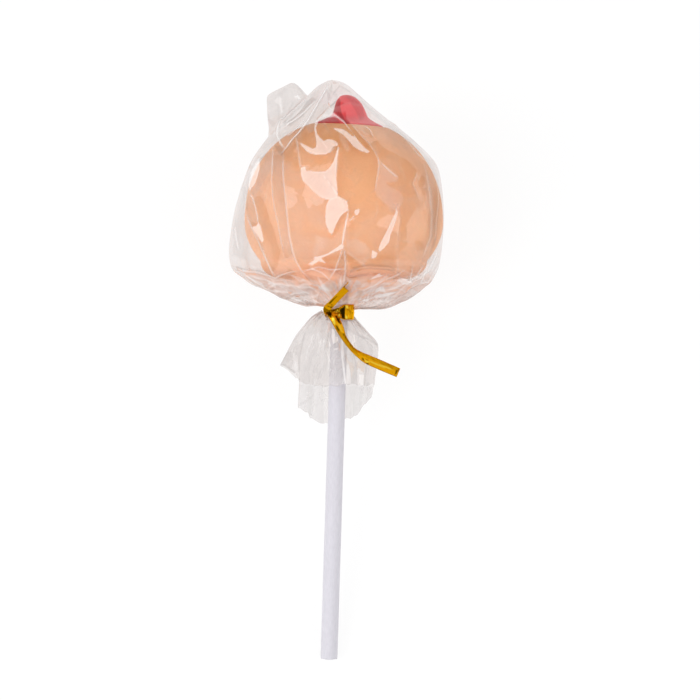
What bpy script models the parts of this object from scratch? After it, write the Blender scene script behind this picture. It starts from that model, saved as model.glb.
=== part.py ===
"""A wrapped lollipop that lies on its back, with its shown side up.

The sweet is a round candy head with a flattened base, a low pink cap with a knob on top, and a
paper stick. A clear film bag holds the head. It is gathered round the stick just under the head,
tied with a strip of gold foil, and flares into a pleated skirt below the tie.

Every sub-part is modelled on a standing lollipop: +Z runs up the stick, +X is the right and -Y is
the shown front, with the origin on the stick's axis at the height of the candy's base. One empty
then lays the whole thing down on its back: the film and the end of the stick touch the ground at
Z = 0, and the origin is at the bottom centre of the bounding box. Lengths are in metres.
"""
import math

import bmesh
import bpy
from mathutils import Matrix, Vector

MM = 0.001

# Clearances
GAP = 0.3 * MM                    # between any two pieces that touch

# Candy head, measured from its base up its own axis
CANDY_RADIUS = 29.0 * MM          # widest, a third of the way up
CANDY_BASE_RADIUS = 19.0 * MM     # flat base
CANDY_SEAT_HEIGHT = 45.4 * MM     # flat seat of the cap
CANDY_SHIFT = 0.8 * MM            # the base's centre lies right of the stick
CANDY_LEAN = math.radians(1.8)    # the head leans left of the stick
CANDY_SIDES = 44

# Pink cap
CAP_RADIUS = 9.9 * MM
CAP_HEIGHT = 8.9 * MM
CAP_SHIFT = 0.8 * MM
CAP_LEAN = math.radians(-1.6)     # its rim drops to the right
CAP_SIDES = 32

# Paper stick
STICK_RADIUS = 2.5 * MM
STICK_BOTTOM = -111.8 * MM
STICK_DEPTH = 20.0 * MM           # length held in the candy
STICK_EDGE = 0.2 * MM             # broken edge at the cut ends
STICK_SIDES = 24

# Film bag: one thin skin from the top of the bag to the hem of the skirt
FILM_WALL = 0.3 * MM
FILM_COLUMNS = 44
FILM_ROWS = 36
TOP_RIDGE_X = -2.7 * MM           # the bag's top lies left of the stick
BACK_SLACK = 1.5 * MM             # the back hangs looser, and the ground presses it flat
GATHERS = 8                       # creases that run in to the neck
GATHER_DEPTH = 0.07
PLEATS = 7                        # pleats of the skirt
PLEAT_DEPTH = 0.12
EAR_HALF_ANGLE = 0.17             # half width of the folded corner, seen from above

# Height and reach of the skin, from the top down, on its right, left and front sides in mm
FILM_RIGHT = [(58.4, -2.7), (56.2, 2.8), (49.4, 10.0), (41.0, 21.2), (34.0, 27.6), (20.0, 30.3),
              (7.0, 29.5), (1.5, 27.6), (-4.7, 20.6), (-8.2, 12.2), (-8.9, 4.2), (-12.3, 4.2),
              (-15.4, 7.4), (-22.0, 11.4), (-31.0, 10.8), (-38.5, 8.0)]
FILM_LEFT = [(58.4, 2.7), (56.4, 8.4), (50.0, 14.4), (41.0, 22.4), (33.0, 27.7), (19.9, 31.6),
             (7.5, 33.1), (0.8, 30.8), (-4.6, 20.6), (-8.2, 12.6), (-8.9, 4.2), (-12.3, 4.2),
             (-15.8, 10.8), (-24.5, 16.0), (-31.0, 11.6), (-39.5, 9.3)]
FILM_FRONT = [(58.4, 0.0), (56.8, 4.6), (50.5, 12.0), (42.5, 19.8), (34.5, 26.4), (19.0, 30.2),
              (7.0, 28.8), (0.0, 22.8), (-4.5, 12.6), (-7.6, 6.8), (-8.9, 4.2), (-12.3, 4.2),
              (-15.6, 5.6), (-23.0, 8.0), (-31.0, 8.4), (-40.5, 7.4)]
EAR_STATIONS = (1.9, 3.0)         # the corner stands out between these stations
# Outline of the folded corner on the left side: height and reach in mm
EAR_OUTLINE = [(51.6, 12.8), (56.6, 16.4), (55.6, 20.0), (53.2, 23.0), (49.4, 23.5),
               (45.0, 22.9), (41.0, 22.5)]

# Gold tie: points of its middle line and its width there, from the upper tail's tip, behind the
# neck, over the front and down to the lower tail's tip: right, front, up, width in mm
TIE_ROUTE = [(2.2, 21.0, -2.4, 2.2), (-1.2, 14.0, -6.0, 2.2), (-3.9, 6.6, -9.8, 2.2),
             (-4.7, 1.4, -10.6, 2.4), (-3.4, -3.3, -10.6, 2.4), (0.0, -4.7, -10.6, 2.4),
             (3.4, -3.3, -10.6, 2.5), (4.7, 0.6, -10.6, 2.5), (3.4, 4.0, -10.8, 2.5),
             (0.4, 5.9, -11.4, 2.2), (-1.2, 7.2, -13.2, 1.6), (-0.4, 8.4, -16.4, 1.8),
             (2.4, 9.8, -19.8, 1.8), (6.2, 10.8, -22.6, 2.2), (12.0, 11.2, -25.4, 3.2),
             (18.2, 11.2, -27.4, 3.2)]
TIE_THICKNESS = 0.4 * MM
TIE_STEPS = 4                     # strip segments between two route points
TIE_FRONT_BELOW = -12.6 * MM      # below this the strip faces the front and not outwards


def material(name, colour, roughness, metallic=0.0, alpha=1.0):
    """Make a Principled material."""
    made = bpy.data.materials.new(name)
    made.use_nodes = True
    shader = made.node_tree.nodes["Principled BSDF"]
    shader.inputs["Base Color"].default_value = (*colour, 1.0)
    shader.inputs["Roughness"].default_value = roughness
    shader.inputs["Metallic"].default_value = metallic
    shader.inputs["Alpha"].default_value = alpha
    return made


def peach_candy():
    return material("peach candy", (0.84, 0.40, 0.20), 0.55)


def pink_candy():
    return material("pink candy", (0.75, 0.14, 0.14), 0.45)


def white_paper():
    return material("white paper", (0.74, 0.73, 0.78), 0.6)


def clear_film():
    return material("clear film", (0.86, 0.83, 0.81), 0.08, alpha=0.3)


def gold_foil():
    return material("gold foil", (0.70, 0.42, 0.03), 0.22, metallic=1.0)


def add_object(name, mesh, finish, smooth_angle=math.radians(40.0)):
    """Link a mesh as a named object with its material, smooth apart from its sharp edges."""
    mesh.materials.append(finish)
    mesh.shade_smooth()
    mesh.set_sharp_from_angle(angle=smooth_angle)
    piece = bpy.data.objects.new(name, mesh)
    bpy.context.collection.objects.link(piece)
    return piece


def turned_mesh(name, profile, sides):
    """Turn a profile of (radius, height) points, listed from top to bottom, about the Z axis."""
    shape = bmesh.new()
    points = [shape.verts.new((radius, 0.0, height)) for radius, height in profile]
    edges = [shape.edges.new(pair) for pair in zip(points, points[1:])]
    bmesh.ops.spin(shape, geom=points + edges, cent=(0, 0, 0), axis=(0, 0, 1),
                   angle=2.0 * math.pi, steps=sides, use_merge=True)
    bmesh.ops.remove_doubles(shape, verts=shape.verts, dist=1e-6)
    bmesh.ops.recalc_face_normals(shape, faces=shape.faces)
    mesh = bpy.data.meshes.new(name)
    shape.to_mesh(mesh)
    shape.free()
    return mesh


def spline(points, position):
    """Read a smooth curve through the points at a fractional index."""
    index = min(int(position), len(points) - 2)
    part = position - index
    before = Vector(points[max(index - 1, 0)])
    start = Vector(points[index])
    end = Vector(points[index + 1])
    after = Vector(points[min(index + 2, len(points) - 1)])
    leave = (end - before) / 2.0
    arrive = (after - start) / 2.0
    bend = 3.0 * (end - start) - 2.0 * leave - arrive
    close = 2.0 * (start - end) + leave + arrive
    return start + part * leave + part ** 2 * bend + part ** 3 * close


def candy_profile():
    """Give the candy's (radius, height) points from the middle of the seat to its base."""
    belly_height = 0.37 * CANDY_SEAT_HEIGHT
    dome_steps = 12
    flank_steps = 7
    corner = 3.6 * MM
    points = [(0.0, CANDY_SEAT_HEIGHT + 2.0 * MM)]
    # The dome is a superellipse quarter from above the seat out to the belly
    dome_rise = CANDY_SEAT_HEIGHT + 2.0 * MM - belly_height
    for step in range(1, dome_steps):
        angle = 0.5 * math.pi * step / dome_steps
        radius = CANDY_RADIUS * math.sin(angle) ** 0.94
        height = belly_height + dome_rise * math.cos(angle) ** 0.92
        points.append((radius, height))
    # The flank draws in from the belly to the rounded corner of the base
    corner_radius = CANDY_BASE_RADIUS + corner
    for step in range(flank_steps):
        part = step / flank_steps
        height = belly_height + part * (corner - belly_height)
        points.append((CANDY_RADIUS - (CANDY_RADIUS - corner_radius - 1.5 * MM) * part ** 2, height))
    for step in range(5):
        angle = 0.5 * math.pi * step / 4
        radius = CANDY_BASE_RADIUS + (corner + 1.5 * MM) * math.cos(angle)
        points.append((radius, corner * (1.0 - math.sin(angle))))
    points.append((0.0, 0.0))
    return points


def cutter(name, mesh):
    """Link a mesh that only cuts another piece."""
    guide = bpy.data.objects.new(name, mesh)
    bpy.context.collection.objects.link(guide)
    guide.hide_render = True
    guide.display_type = "WIRE"
    return guide


def cut(piece, guide):
    """Take a guide's shape out of a piece."""
    boolean = piece.modifiers.new(guide.name, "BOOLEAN")
    boolean.operation = "DIFFERENCE"
    boolean.solver = "EXACT"
    boolean.object = guide


def cap_place():
    """Give the cap's place on the candy: its rim's plane and its lean."""
    return Matrix.Translation((CAP_SHIFT, 0.0, CANDY_SEAT_HEIGHT)) @ Matrix.Rotation(-CAP_LEAN, 4, "Y")


def make_candy():
    """Model the round head with the cap's flat seat and the socket of the stick."""
    candy = add_object("candy", turned_mesh("candy", candy_profile(), CANDY_SIDES), peach_candy())
    candy.matrix_world = (Matrix.Translation((CANDY_SHIFT, 0.0, 0.0))
                          @ Matrix.Rotation(-CANDY_LEAN, 4, "Y"))

    block = bmesh.new()
    bmesh.ops.create_cube(block, size=2.0 * CANDY_RADIUS)
    bmesh.ops.translate(block, verts=block.verts, vec=(0.0, 0.0, CANDY_RADIUS))
    seat_mesh = bpy.data.meshes.new("seat_cutter")
    block.to_mesh(seat_mesh)
    block.free()
    seat = cutter("seat_cutter", seat_mesh)
    seat.matrix_world = cap_place()
    cut(candy, seat)

    socket_radius = STICK_RADIUS + GAP
    socket_top = STICK_DEPTH + GAP
    socket_profile = [(0.0, socket_top), (socket_radius, socket_top), (socket_radius, -1.0 * MM),
                      (0.0, -1.0 * MM)]
    cut(candy, cutter("socket_cutter", turned_mesh("socket_cutter", socket_profile, STICK_SIDES)))
    return candy


def make_cap():
    """Model the pink cap: a thin rim, a low cone and a rounded knob."""
    rim = 0.35 * MM
    profile = [(0.0, CAP_HEIGHT)]
    profile += [(1.2 * MM, CAP_HEIGHT - 0.15 * MM), (2.3 * MM, CAP_HEIGHT - 0.6 * MM),
                (3.3 * MM, CAP_HEIGHT - 1.5 * MM), (4.0 * MM, CAP_HEIGHT - 2.7 * MM),
                (4.4 * MM, CAP_HEIGHT - 3.9 * MM), (5.0 * MM, CAP_HEIGHT - 5.1 * MM),
                (6.0 * MM, CAP_HEIGHT - 6.2 * MM), (7.9 * MM, CAP_HEIGHT - 7.4 * MM),
                (CAP_RADIUS - rim, 0.75 * MM), (CAP_RADIUS, 0.45 * MM),
                (CAP_RADIUS - 0.1 * MM, GAP), (0.0, GAP)]
    cap = add_object("pink_cap", turned_mesh("pink_cap", profile, CAP_SIDES), pink_candy())
    cap.matrix_world = cap_place()
    return cap


def make_stick():
    """Model the rolled paper stick, with its cut ends' edges broken."""
    profile = [(0.0, STICK_DEPTH), (STICK_RADIUS - STICK_EDGE, STICK_DEPTH),
               (STICK_RADIUS, STICK_DEPTH - STICK_EDGE), (STICK_RADIUS, STICK_BOTTOM + STICK_EDGE),
               (STICK_RADIUS - STICK_EDGE, STICK_BOTTOM), (0.0, STICK_BOTTOM)]
    return add_object("stick", turned_mesh("stick", profile, STICK_SIDES), white_paper())


def rest_tilt():
    """Find the stick's slope when the film under the head and the stick's end both touch ground."""
    wall = GAP + FILM_WALL + 0.1 * MM
    low, high = 0.0, math.radians(30.0)
    for _ in range(40):
        tilt = 0.5 * (low + high)
        end_drop = STICK_BOTTOM * math.sin(tilt) - STICK_RADIUS * math.cos(tilt)
        head_drop = min(height * math.sin(tilt) - radius * math.cos(tilt)
                        for radius, height in candy_profile())
        if head_drop - wall < end_drop:
            low = tilt
        else:
            high = tilt
    return tilt


def laying_matrix(tilt):
    """Lay the standing lollipop on its back, its end and its film on the ground."""
    end_drop = STICK_BOTTOM * math.sin(tilt) - (STICK_RADIUS) * math.cos(tilt)
    return Matrix.Translation((0.0, 0.0, -end_drop)) @ Matrix.Rotation(tilt - 0.5 * math.pi, 4, "X")


def skin_point(row_position, angle, laying):
    """Give a point of the film skin.

    The skin's height and reach run along three outlines, its right, left and front, and blend
    round the axis with the squares of the angle's cosine and sine. Waves that grow towards the
    neck gather the bag, waves below it pleat the skirt, and the corner of the bag is drawn out
    on the left. What would lie below the ground is pressed flat on it.
    """
    right = spline(FILM_RIGHT, row_position)
    left = spline(FILM_LEFT, row_position)
    front = spline(FILM_FRONT, row_position)
    across, ahead = math.cos(angle), math.sin(angle)
    side = right if across > 0.0 else left
    height = side[0] * across ** 2 + front[0] * ahead ** 2
    centre = 0.5 * (right[1] - left[1])
    reach = 0.5 * (right[1] + left[1])
    depth = front[1]

    if ahead < 0.0:
        depth += BACK_SLACK / MM * math.sin(math.pi * min(max(row_position - 3.0, 0.0) / 5.0, 1.0))
    gather = GATHER_DEPTH * max(0.0, 1.0 - abs(row_position - 8.4) / 1.6)
    pleat = PLEAT_DEPTH * min(max(row_position - 11.3, 0.0), 1.0)
    wave = 1.0 + gather * math.cos(GATHERS * angle) + pleat * math.cos(PLEATS * angle + 0.6)
    reach *= wave
    depth *= wave
    height -= 2.0 * pleat / PLEAT_DEPTH * math.cos(3.0 * angle + 0.4) * max(0.0, row_position - 13.0)

    first, last = EAR_STATIONS
    if first < row_position < last:
        turn = (angle - math.pi) / EAR_HALF_ANGLE
        pull = math.exp(-turn * turn)
        corner = spline(EAR_OUTLINE, (len(EAR_OUTLINE) - 1) * (row_position - first) / (last - first))
        height += pull * (corner[0] - height)
        reach += pull * (corner[1] - (reach - centre))

    point = Vector((centre + reach * across, -depth * ahead, height)) * MM
    below = (laying @ point).z
    if below < 0.0:
        ground_normal = laying.to_3x3().transposed() @ Vector((0.0, 0.0, 1.0))
        point -= below * ground_normal
    return point


def make_film(laying):
    """Model the film bag and its skirt as one thin skin that is open at the skirt's hem."""
    shape = bmesh.new()
    last_station = len(FILM_FRONT) - 1
    rings = []
    for row in range(1, FILM_ROWS + 1):
        position = last_station * row / FILM_ROWS
        ring = [shape.verts.new(skin_point(position, 2.0 * math.pi * column / FILM_COLUMNS, laying))
                for column in range(FILM_COLUMNS)]
        rings.append(ring)
    top = shape.verts.new((TOP_RIDGE_X, 0.0, FILM_FRONT[0][0] * MM))
    for start, end in zip(rings[0], rings[0][1:] + rings[0][:1]):
        shape.faces.new((top, start, end))
    for upper, lower in zip(rings, rings[1:]):
        for column in range(FILM_COLUMNS):
            following = (column + 1) % FILM_COLUMNS
            shape.faces.new((upper[column], lower[column], lower[following], upper[following]))
    bmesh.ops.recalc_face_normals(shape, faces=shape.faces)
    mesh = bpy.data.meshes.new("film_bag")
    shape.to_mesh(mesh)
    shape.free()
    if mesh.polygons[0].normal.z < 0.0:
        mesh.flip_normals()
    film = add_object("film_bag", mesh, clear_film())
    wall = film.modifiers.new("wall", "SOLIDIFY")
    wall.thickness = FILM_WALL
    wall.offset = -1.0
    wall.use_even_offset = False
    return film


def make_tie():
    """Model the gold tie: one flat strip swept along its route, with closed ends."""
    shape = bmesh.new()
    stations = (len(TIE_ROUTE) - 1) * TIE_STEPS
    rings = []
    for station in range(stations + 1):
        position = station / TIE_STEPS
        right, ahead, height, width = spline(TIE_ROUTE, position)
        before = spline(TIE_ROUTE, max(position - 0.05, 0.0))
        after = spline(TIE_ROUTE, min(position + 0.05, stations / TIE_STEPS))
        along = Vector((after[0] - before[0], before[1] - after[1], after[2] - before[2])).normalized()
        facing = Vector((right, -ahead, 0.0)).normalized()
        if height * MM < TIE_FRONT_BELOW:
            to_front = min((TIE_FRONT_BELOW - height * MM) / (4.0 * MM), 1.0)
            facing = facing.lerp(Vector((0.0, -1.0, 0.0)), to_front)
        across = along.cross(facing).normalized() * (0.5 * width * MM)
        outwards = across.cross(along).normalized() * (0.5 * TIE_THICKNESS)
        centre = Vector((right, -ahead, height)) * MM
        corners = (across + outwards, across - outwards, -across - outwards, -across + outwards)
        rings.append([shape.verts.new(centre + corner) for corner in corners])
    for first, second in zip(rings, rings[1:]):
        for corner in range(4):
            following = (corner + 1) % 4
            shape.faces.new((first[corner], second[corner], second[following], first[following]))
    shape.faces.new(rings[0])
    shape.faces.new(list(reversed(rings[-1])))
    bmesh.ops.recalc_face_normals(shape, faces=shape.faces)
    mesh = bpy.data.meshes.new("gold_tie")
    shape.to_mesh(mesh)
    shape.free()
    return add_object("gold_tie", mesh, gold_foil())


def box_of(pieces):
    """Measure the box round the finished pieces in world space."""
    bpy.context.view_layer.update()
    graph = bpy.context.evaluated_depsgraph_get()
    low = Vector((math.inf,) * 3)
    high = Vector((-math.inf,) * 3)
    for piece in pieces:
        finished = piece.evaluated_get(graph)
        for vertex in finished.data.vertices:
            place = finished.matrix_world @ vertex.co
            low = Vector(map(min, low, place))
            high = Vector(map(max, high, place))
    return low, high


def main():
    for thing in list(bpy.data.objects):
        bpy.data.objects.remove(thing, do_unlink=True)
    laying = laying_matrix(rest_tilt())
    pieces = [make_candy(), make_cap(), make_stick(), make_film(laying), make_tie()]
    stand = bpy.data.objects.new("lying_lollipop", None)
    bpy.context.collection.objects.link(stand)
    for thing in list(bpy.data.objects):
        if thing is not stand:
            thing.parent = stand
    stand.matrix_world = laying
    low, high = box_of(pieces)
    middle = 0.5 * (low + high)
    stand.matrix_world = Matrix.Translation((-middle.x, -middle.y, 0.0)) @ laying


main()
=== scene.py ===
"""Looks of a wrapped lollipop that lies on its back: candy, cap, stick, film and gold tie.

Every shape is worked out in the standing lollipop's own frame, in millimetres: x runs to the right
of the shown side, y to the back, z up the stick, and the origin lies on the stick's axis at the
height of the candy's base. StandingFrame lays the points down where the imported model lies.
"""
from __future__ import annotations

import logging
import math
from dataclasses import dataclass, field
from enum import Enum

import bpy
import numpy as np
from mathutils import Matrix, Vector

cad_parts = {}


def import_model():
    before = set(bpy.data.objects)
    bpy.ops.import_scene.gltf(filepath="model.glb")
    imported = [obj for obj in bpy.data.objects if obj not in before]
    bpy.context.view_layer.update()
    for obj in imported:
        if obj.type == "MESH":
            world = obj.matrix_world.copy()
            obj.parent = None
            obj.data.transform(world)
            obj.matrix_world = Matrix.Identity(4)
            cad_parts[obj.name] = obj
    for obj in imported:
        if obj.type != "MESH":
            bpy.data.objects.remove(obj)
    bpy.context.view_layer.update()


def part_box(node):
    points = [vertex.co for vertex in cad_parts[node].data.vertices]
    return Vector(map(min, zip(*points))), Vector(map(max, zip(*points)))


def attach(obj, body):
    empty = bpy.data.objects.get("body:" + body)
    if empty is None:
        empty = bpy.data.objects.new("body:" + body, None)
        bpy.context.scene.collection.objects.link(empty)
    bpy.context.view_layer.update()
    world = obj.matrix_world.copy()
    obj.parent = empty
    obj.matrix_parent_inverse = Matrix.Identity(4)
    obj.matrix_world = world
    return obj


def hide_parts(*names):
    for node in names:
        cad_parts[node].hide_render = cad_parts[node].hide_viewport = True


LOG = logging.getLogger("lollipop")
MM = 0.001
TURN = 2.0 * math.pi
Points = np.ndarray
Path = tuple[tuple[float, float], ...]
Knots = list[tuple[float, ...]]
Shades = list[tuple[Path, float]]
Colour = tuple[float, float, float]
Socket = bpy.types.NodeSocket


@dataclass
class StandingFrame:
    """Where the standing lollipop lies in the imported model.

    The stick's box gives its place and its slope: the box's centre lies on the axis, and its length
    and height give the slope.
    """

    stick_length: float = 131.8
    stick_radius: float = 2.5
    stick_middle: float = -45.9
    origin: np.ndarray = field(init=False)
    right: np.ndarray = field(init=False)
    back: np.ndarray = field(init=False)
    up: np.ndarray = field(init=False)

    def __post_init__(self) -> None:
        """Read the slope and the origin from the stick's box."""
        low, high = (np.array(corner[:]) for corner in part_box("stick"))
        _, run, climb = (high - low) / MM
        length, width = self.stick_length, 2.0 * self.stick_radius
        slope = math.atan2(length * climb - width * run, length * run - width * climb)
        self.right = np.array((1.0, 0.0, 0.0))
        self.up = np.array((0.0, math.cos(slope), math.sin(slope)))
        self.back = np.array((0.0, math.sin(slope), -math.cos(slope)))
        self.origin = 0.5 * (low + high) - self.stick_middle * MM * self.up

    def turned(self, vectors: Points) -> Points:
        """Turn vectors (..., 3) of right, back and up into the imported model's axes."""
        return vectors @ np.stack((self.right, self.back, self.up))

    def to_world(self, points: Points) -> Points:
        """Lay down points (..., 3) in millimetres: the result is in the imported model's metres."""
        return self.origin + self.turned(points * MM)

    def direction(self, right: float, front: float, up: float) -> Vector:
        """Give a unit direction, with front towards the viewer."""
        return Vector(right * self.right - front * self.back + up * self.up).normalized()


def smooth_curve(knots: Knots | Points, places: Points, roundness: float = 0.5) -> Points:
    """Read a smooth curve through the knots.

    Between two knots the curve is the cubic whose slopes at its ends are a share of the step
    between the neighbours on both sides.

    Args:
        knots: the points that the curve runs through.
        places: fractional indices into the knots, of any shape.
        roundness: that share; 0.5 is round, and 0 gives straight steps.

    Returns:
        An array of the shape of places, with one more axis for the knots' numbers.
    """
    table = np.asarray(knots, dtype=float)
    last = len(table) - 1
    index = np.clip(places.astype(int), 0, last - 1)
    part = (places - index)[..., None]
    start, end = table[index], table[index + 1]
    leave = roundness * (end - table[np.maximum(index - 1, 0)])
    arrive = roundness * (table[np.minimum(index + 2, last)] - start)
    bend = 3.0 * (end - start) - 2.0 * leave - arrive
    close = 2.0 * (start - end) + leave + arrive
    return start + part * (leave + part * (bend + part * close))


def rise(values: Points, low: float, high: float) -> Points:
    """Go from 0 at low to 1 at high, level at both ends: 3t squared minus 2t cubed."""
    part = np.clip((values - low) / (high - low), 0.0, 1.0)
    return part * part * (3.0 - 2.0 * part)


def zigzag(values: Points) -> Points:
    """Go up and down in straight lines between -1 and 1, once in a turn."""
    return 2.0 * np.abs(2.0 * (values / TURN - np.floor(values / TURN + 0.5))) - 1.0


def surface(name: str, points: Points, closed: bool, **marks: Points) -> bpy.types.Object:
    """Make a mesh object from a grid of points.

    The faces look along the cross product of the steps along a row and down a column.

    Args:
        name: the piece's name.
        points: an array (rows, columns, 3) in metres. A first or last row whose points all meet
            is a pole.
        closed: whether the last column joins the first.
        marks: named vectors (rows, columns, 3) or numbers (rows, columns) that the material
            reads.

    Returns:
        The linked object, shaded smooth.
    """
    rows, columns = points.shape[:2]
    index = np.arange(rows * columns).reshape(rows, columns)
    for row in (0, rows - 1):
        if np.ptp(points[row], axis=0).max() < 1e-9:
            index[row] = index[row, 0]
    following = np.roll(index, -1, axis=1) if closed else index[:, 1:]
    here = index if closed else index[:, :-1]
    quads = np.stack((here[:-1], following[:-1], following[1:], here[1:]), axis=-1).reshape(-1, 4)
    used, flat = np.unique(quads, return_inverse=True)
    quads = flat.reshape(-1, 4)
    above = quads[:, 0] == quads[:, 1]
    below = quads[:, 2] == quads[:, 3]
    triangles = np.concatenate((quads[above][:, [0, 2, 3]], quads[below][:, [0, 1, 2]]))
    quads = quads[~(above | below)]
    corners = np.concatenate((quads.ravel(), triangles.ravel()))
    counts = np.concatenate((np.full(len(quads), 4), np.full(len(triangles), 3)))
    starts = np.concatenate(((0,), np.cumsum(counts)[:-1]))

    mesh = bpy.data.meshes.new(name)
    mesh.vertices.add(len(used))
    mesh.vertices.foreach_set("co", points.reshape(-1, 3)[used].astype(np.float32).ravel())
    mesh.loops.add(len(corners))
    mesh.loops.foreach_set("vertex_index", corners.astype(np.int32))
    mesh.polygons.add(len(counts))
    mesh.polygons.foreach_set("loop_start", starts.astype(np.int32))
    mesh.polygons.foreach_set("loop_total", counts.astype(np.int32))
    mesh.update(calc_edges=True)
    for key, values in marks.items():
        kind, entry = ("FLOAT_VECTOR", "vector") if values.ndim == 3 else ("FLOAT", "value")
        chosen = values.reshape(rows * columns, -1)[used].astype(np.float32)
        mesh.attributes.new(key, kind, "POINT").data.foreach_set(entry, chosen.ravel())
    mesh.shade_smooth()
    piece = bpy.data.objects.new(name, mesh)
    bpy.context.collection.objects.link(piece)
    return piece


def place(piece: bpy.types.Object, material: bpy.types.Material, node: str) -> None:
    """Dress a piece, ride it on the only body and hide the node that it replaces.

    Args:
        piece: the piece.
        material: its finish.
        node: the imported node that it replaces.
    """
    piece.data.materials.clear()
    piece.data.materials.append(material)
    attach(piece, "root")
    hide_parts(node)
    LOG.info("%s: %d faces", piece.name, len(piece.data.polygons))


class Nodes:
    """A short way to write a node tree."""

    def __init__(self, owner: bpy.types.Material | bpy.types.World) -> None:
        """Empty the owner's node tree.

        Args:
            owner: the material or the surroundings.
        """
        owner.use_nodes = True
        self.owner = owner
        self.tree = owner.node_tree
        self.tree.nodes.clear()

    def add(self, kind: str, settings: dict[str, object] | None = None,
            **sockets: object) -> bpy.types.Node:
        """Add a node.

        Args:
            kind: the node's type name without "ShaderNode".
            settings: the node's own settings.
            sockets: input values or links, with _ for a space in the input's name; "in" and a
                number pick an input by its index.

        Returns:
            The node.
        """
        node = self.tree.nodes.new("ShaderNode" + kind)
        for key, value in (settings or {}).items():
            setattr(node, key, value)
        for key, value in sockets.items():
            index = key.removeprefix("in")
            socket = node.inputs[int(index) if index.isdigit() else key.replace("_", " ")]
            if isinstance(value, Socket):
                self.tree.links.new(value, socket)
            else:
                socket.default_value = value
        return node

    def shader(self, kind: str, **sockets: object) -> Socket:
        """Add a shader and give its output."""
        return self.add(kind, **sockets).outputs[0]

    def mix(self, share: Socket | float, first: Socket, second: Socket) -> Socket:
        """Mix two shaders, from the first at a share of 0 to the second at 1."""
        return self.shader("MixShader", in0=share, in1=first, in2=second)

    def coordinates(self) -> Socket:
        """Give the object coordinates."""
        return self.add("TexCoord").outputs["Object"]

    def marks(self, name: str, kind: str = "Vector") -> Socket:
        """Give a mesh's named marks: its "Vector" or, of plain numbers, its "Fac"."""
        return self.add("Attribute", {"attribute_name": name}).outputs[kind]

    def noise(self, vector: Socket, scale: float, detail: float = 3.0, roughness: float = 0.5,
              distortion: float = 0.0) -> Socket:
        """Give a noise's value; scale is in waves per metre."""
        return self.add("TexNoise", Vector=vector, Scale=scale, Detail=detail, Roughness=roughness,
                        Distortion=distortion).outputs["Fac"]

    def calculate(self, operation: str, *numbers: Socket | float, clamp: bool = False) -> Socket:
        """Work out a number from two or three others.

        Args:
            operation: the Math node's operation.
            numbers: what it works on, in the node's order.
            clamp: whether the result is held between 0 and 1.

        Returns:
            The result's socket.
        """
        inputs = {f"in{index}": number for index, number in enumerate(numbers)}
        return self.add("Math", {"operation": operation, "use_clamp": clamp}, **inputs).outputs[0]

    def ramp(self, value: Socket, stops: list[tuple[float, Colour]]) -> Socket:
        """Give a colour ramp's colour.

        Args:
            value: what drives the ramp.
            stops: each stop's position and colour.

        Returns:
            The colour's socket.
        """
        node = self.add("ValToRGB", Fac=value)
        elements = node.color_ramp.elements
        while len(elements) < len(stops):
            elements.new(0.5)
        for element, (position, colour) in zip(elements, stops):
            element.position = position
            element.color = (*colour, 1.0)
        return node.outputs["Color"]

    def blend(self, share: Socket, first: Socket, second: Colour) -> Socket:
        """Blend two colours, from the first at a share of 0 to the second at 1."""
        return self.add("Mix", {"data_type": "RGBA"}, in0=share, in6=first,
                        in7=(*second, 1.0)).outputs[2]

    def spread(self, value: Socket, low: float, high: float, start: float, end: float) -> Socket:
        """Map a value from the range low to high onto start to end, and hold it there."""
        return self.add("MapRange", {"clamp": True}, Value=value, From_Min=low, From_Max=high,
                        To_Min=start, To_Max=end).outputs["Result"]

    def bump(self, height: Socket, distance: float, strength: float = 1.0) -> Socket:
        """Give a normal from a height; distance is the relief in metres."""
        return self.add("Bump", Height=height, Distance=distance, Strength=strength).outputs["Normal"]

    def finish(self, shader: Socket,
               output: str = "OutputMaterial") -> bpy.types.Material | bpy.types.World:
        """Link the shader to an output and give the tree's owner."""
        self.add(output, Surface=shader)
        return self.owner


@dataclass(frozen=True)
class CandyFinish:
    """Pressed candy: a soft, fine-grained, slightly mottled surface.

    The mesh's "shade" tells where painted shade takes the colour towards the painted dark one.
    Grain and depth, the relief and how far light goes in, are in metres.
    """

    name: str
    colour: Colour
    pale: Colour
    # the dark colour that painted shade goes towards
    painted_dark: Colour
    roughness: float
    grain: float
    depth: float

    def build(self) -> bpy.types.Material:
        """Make the material: cloudy mottling, painted shade, fine grain and a low relief.

        Returns:
            The material.
        """
        nodes = Nodes(bpy.data.materials.new(self.name))
        where = nodes.coordinates()
        clouds = nodes.noise(where, 70.0, 2.0)
        grain = nodes.noise(where, 1500.0, 4.0, 0.7)
        cloudy = nodes.calculate("MULTIPLY", clouds, 0.65)
        mottling = nodes.calculate("MULTIPLY_ADD", grain, 0.35, cloudy)
        mottled = nodes.ramp(mottling, [(0.36, self.colour), (0.64, self.pale)])
        # Painted shade: the colour goes towards the painted dark colour where the mesh's shade says.
        return nodes.finish(nodes.shader(
            "BsdfPrincipled", Base_Color=nodes.blend(nodes.marks("shade", "Fac"), mottled, self.painted_dark),
            Roughness=self.roughness, Normal=nodes.bump(grain, self.grain),
            Specular_IOR_Level=0.35, Subsurface_Weight=0.15, Subsurface_Radius=(1.0, 0.5, 0.3),
            Subsurface_Scale=self.depth))


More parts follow.
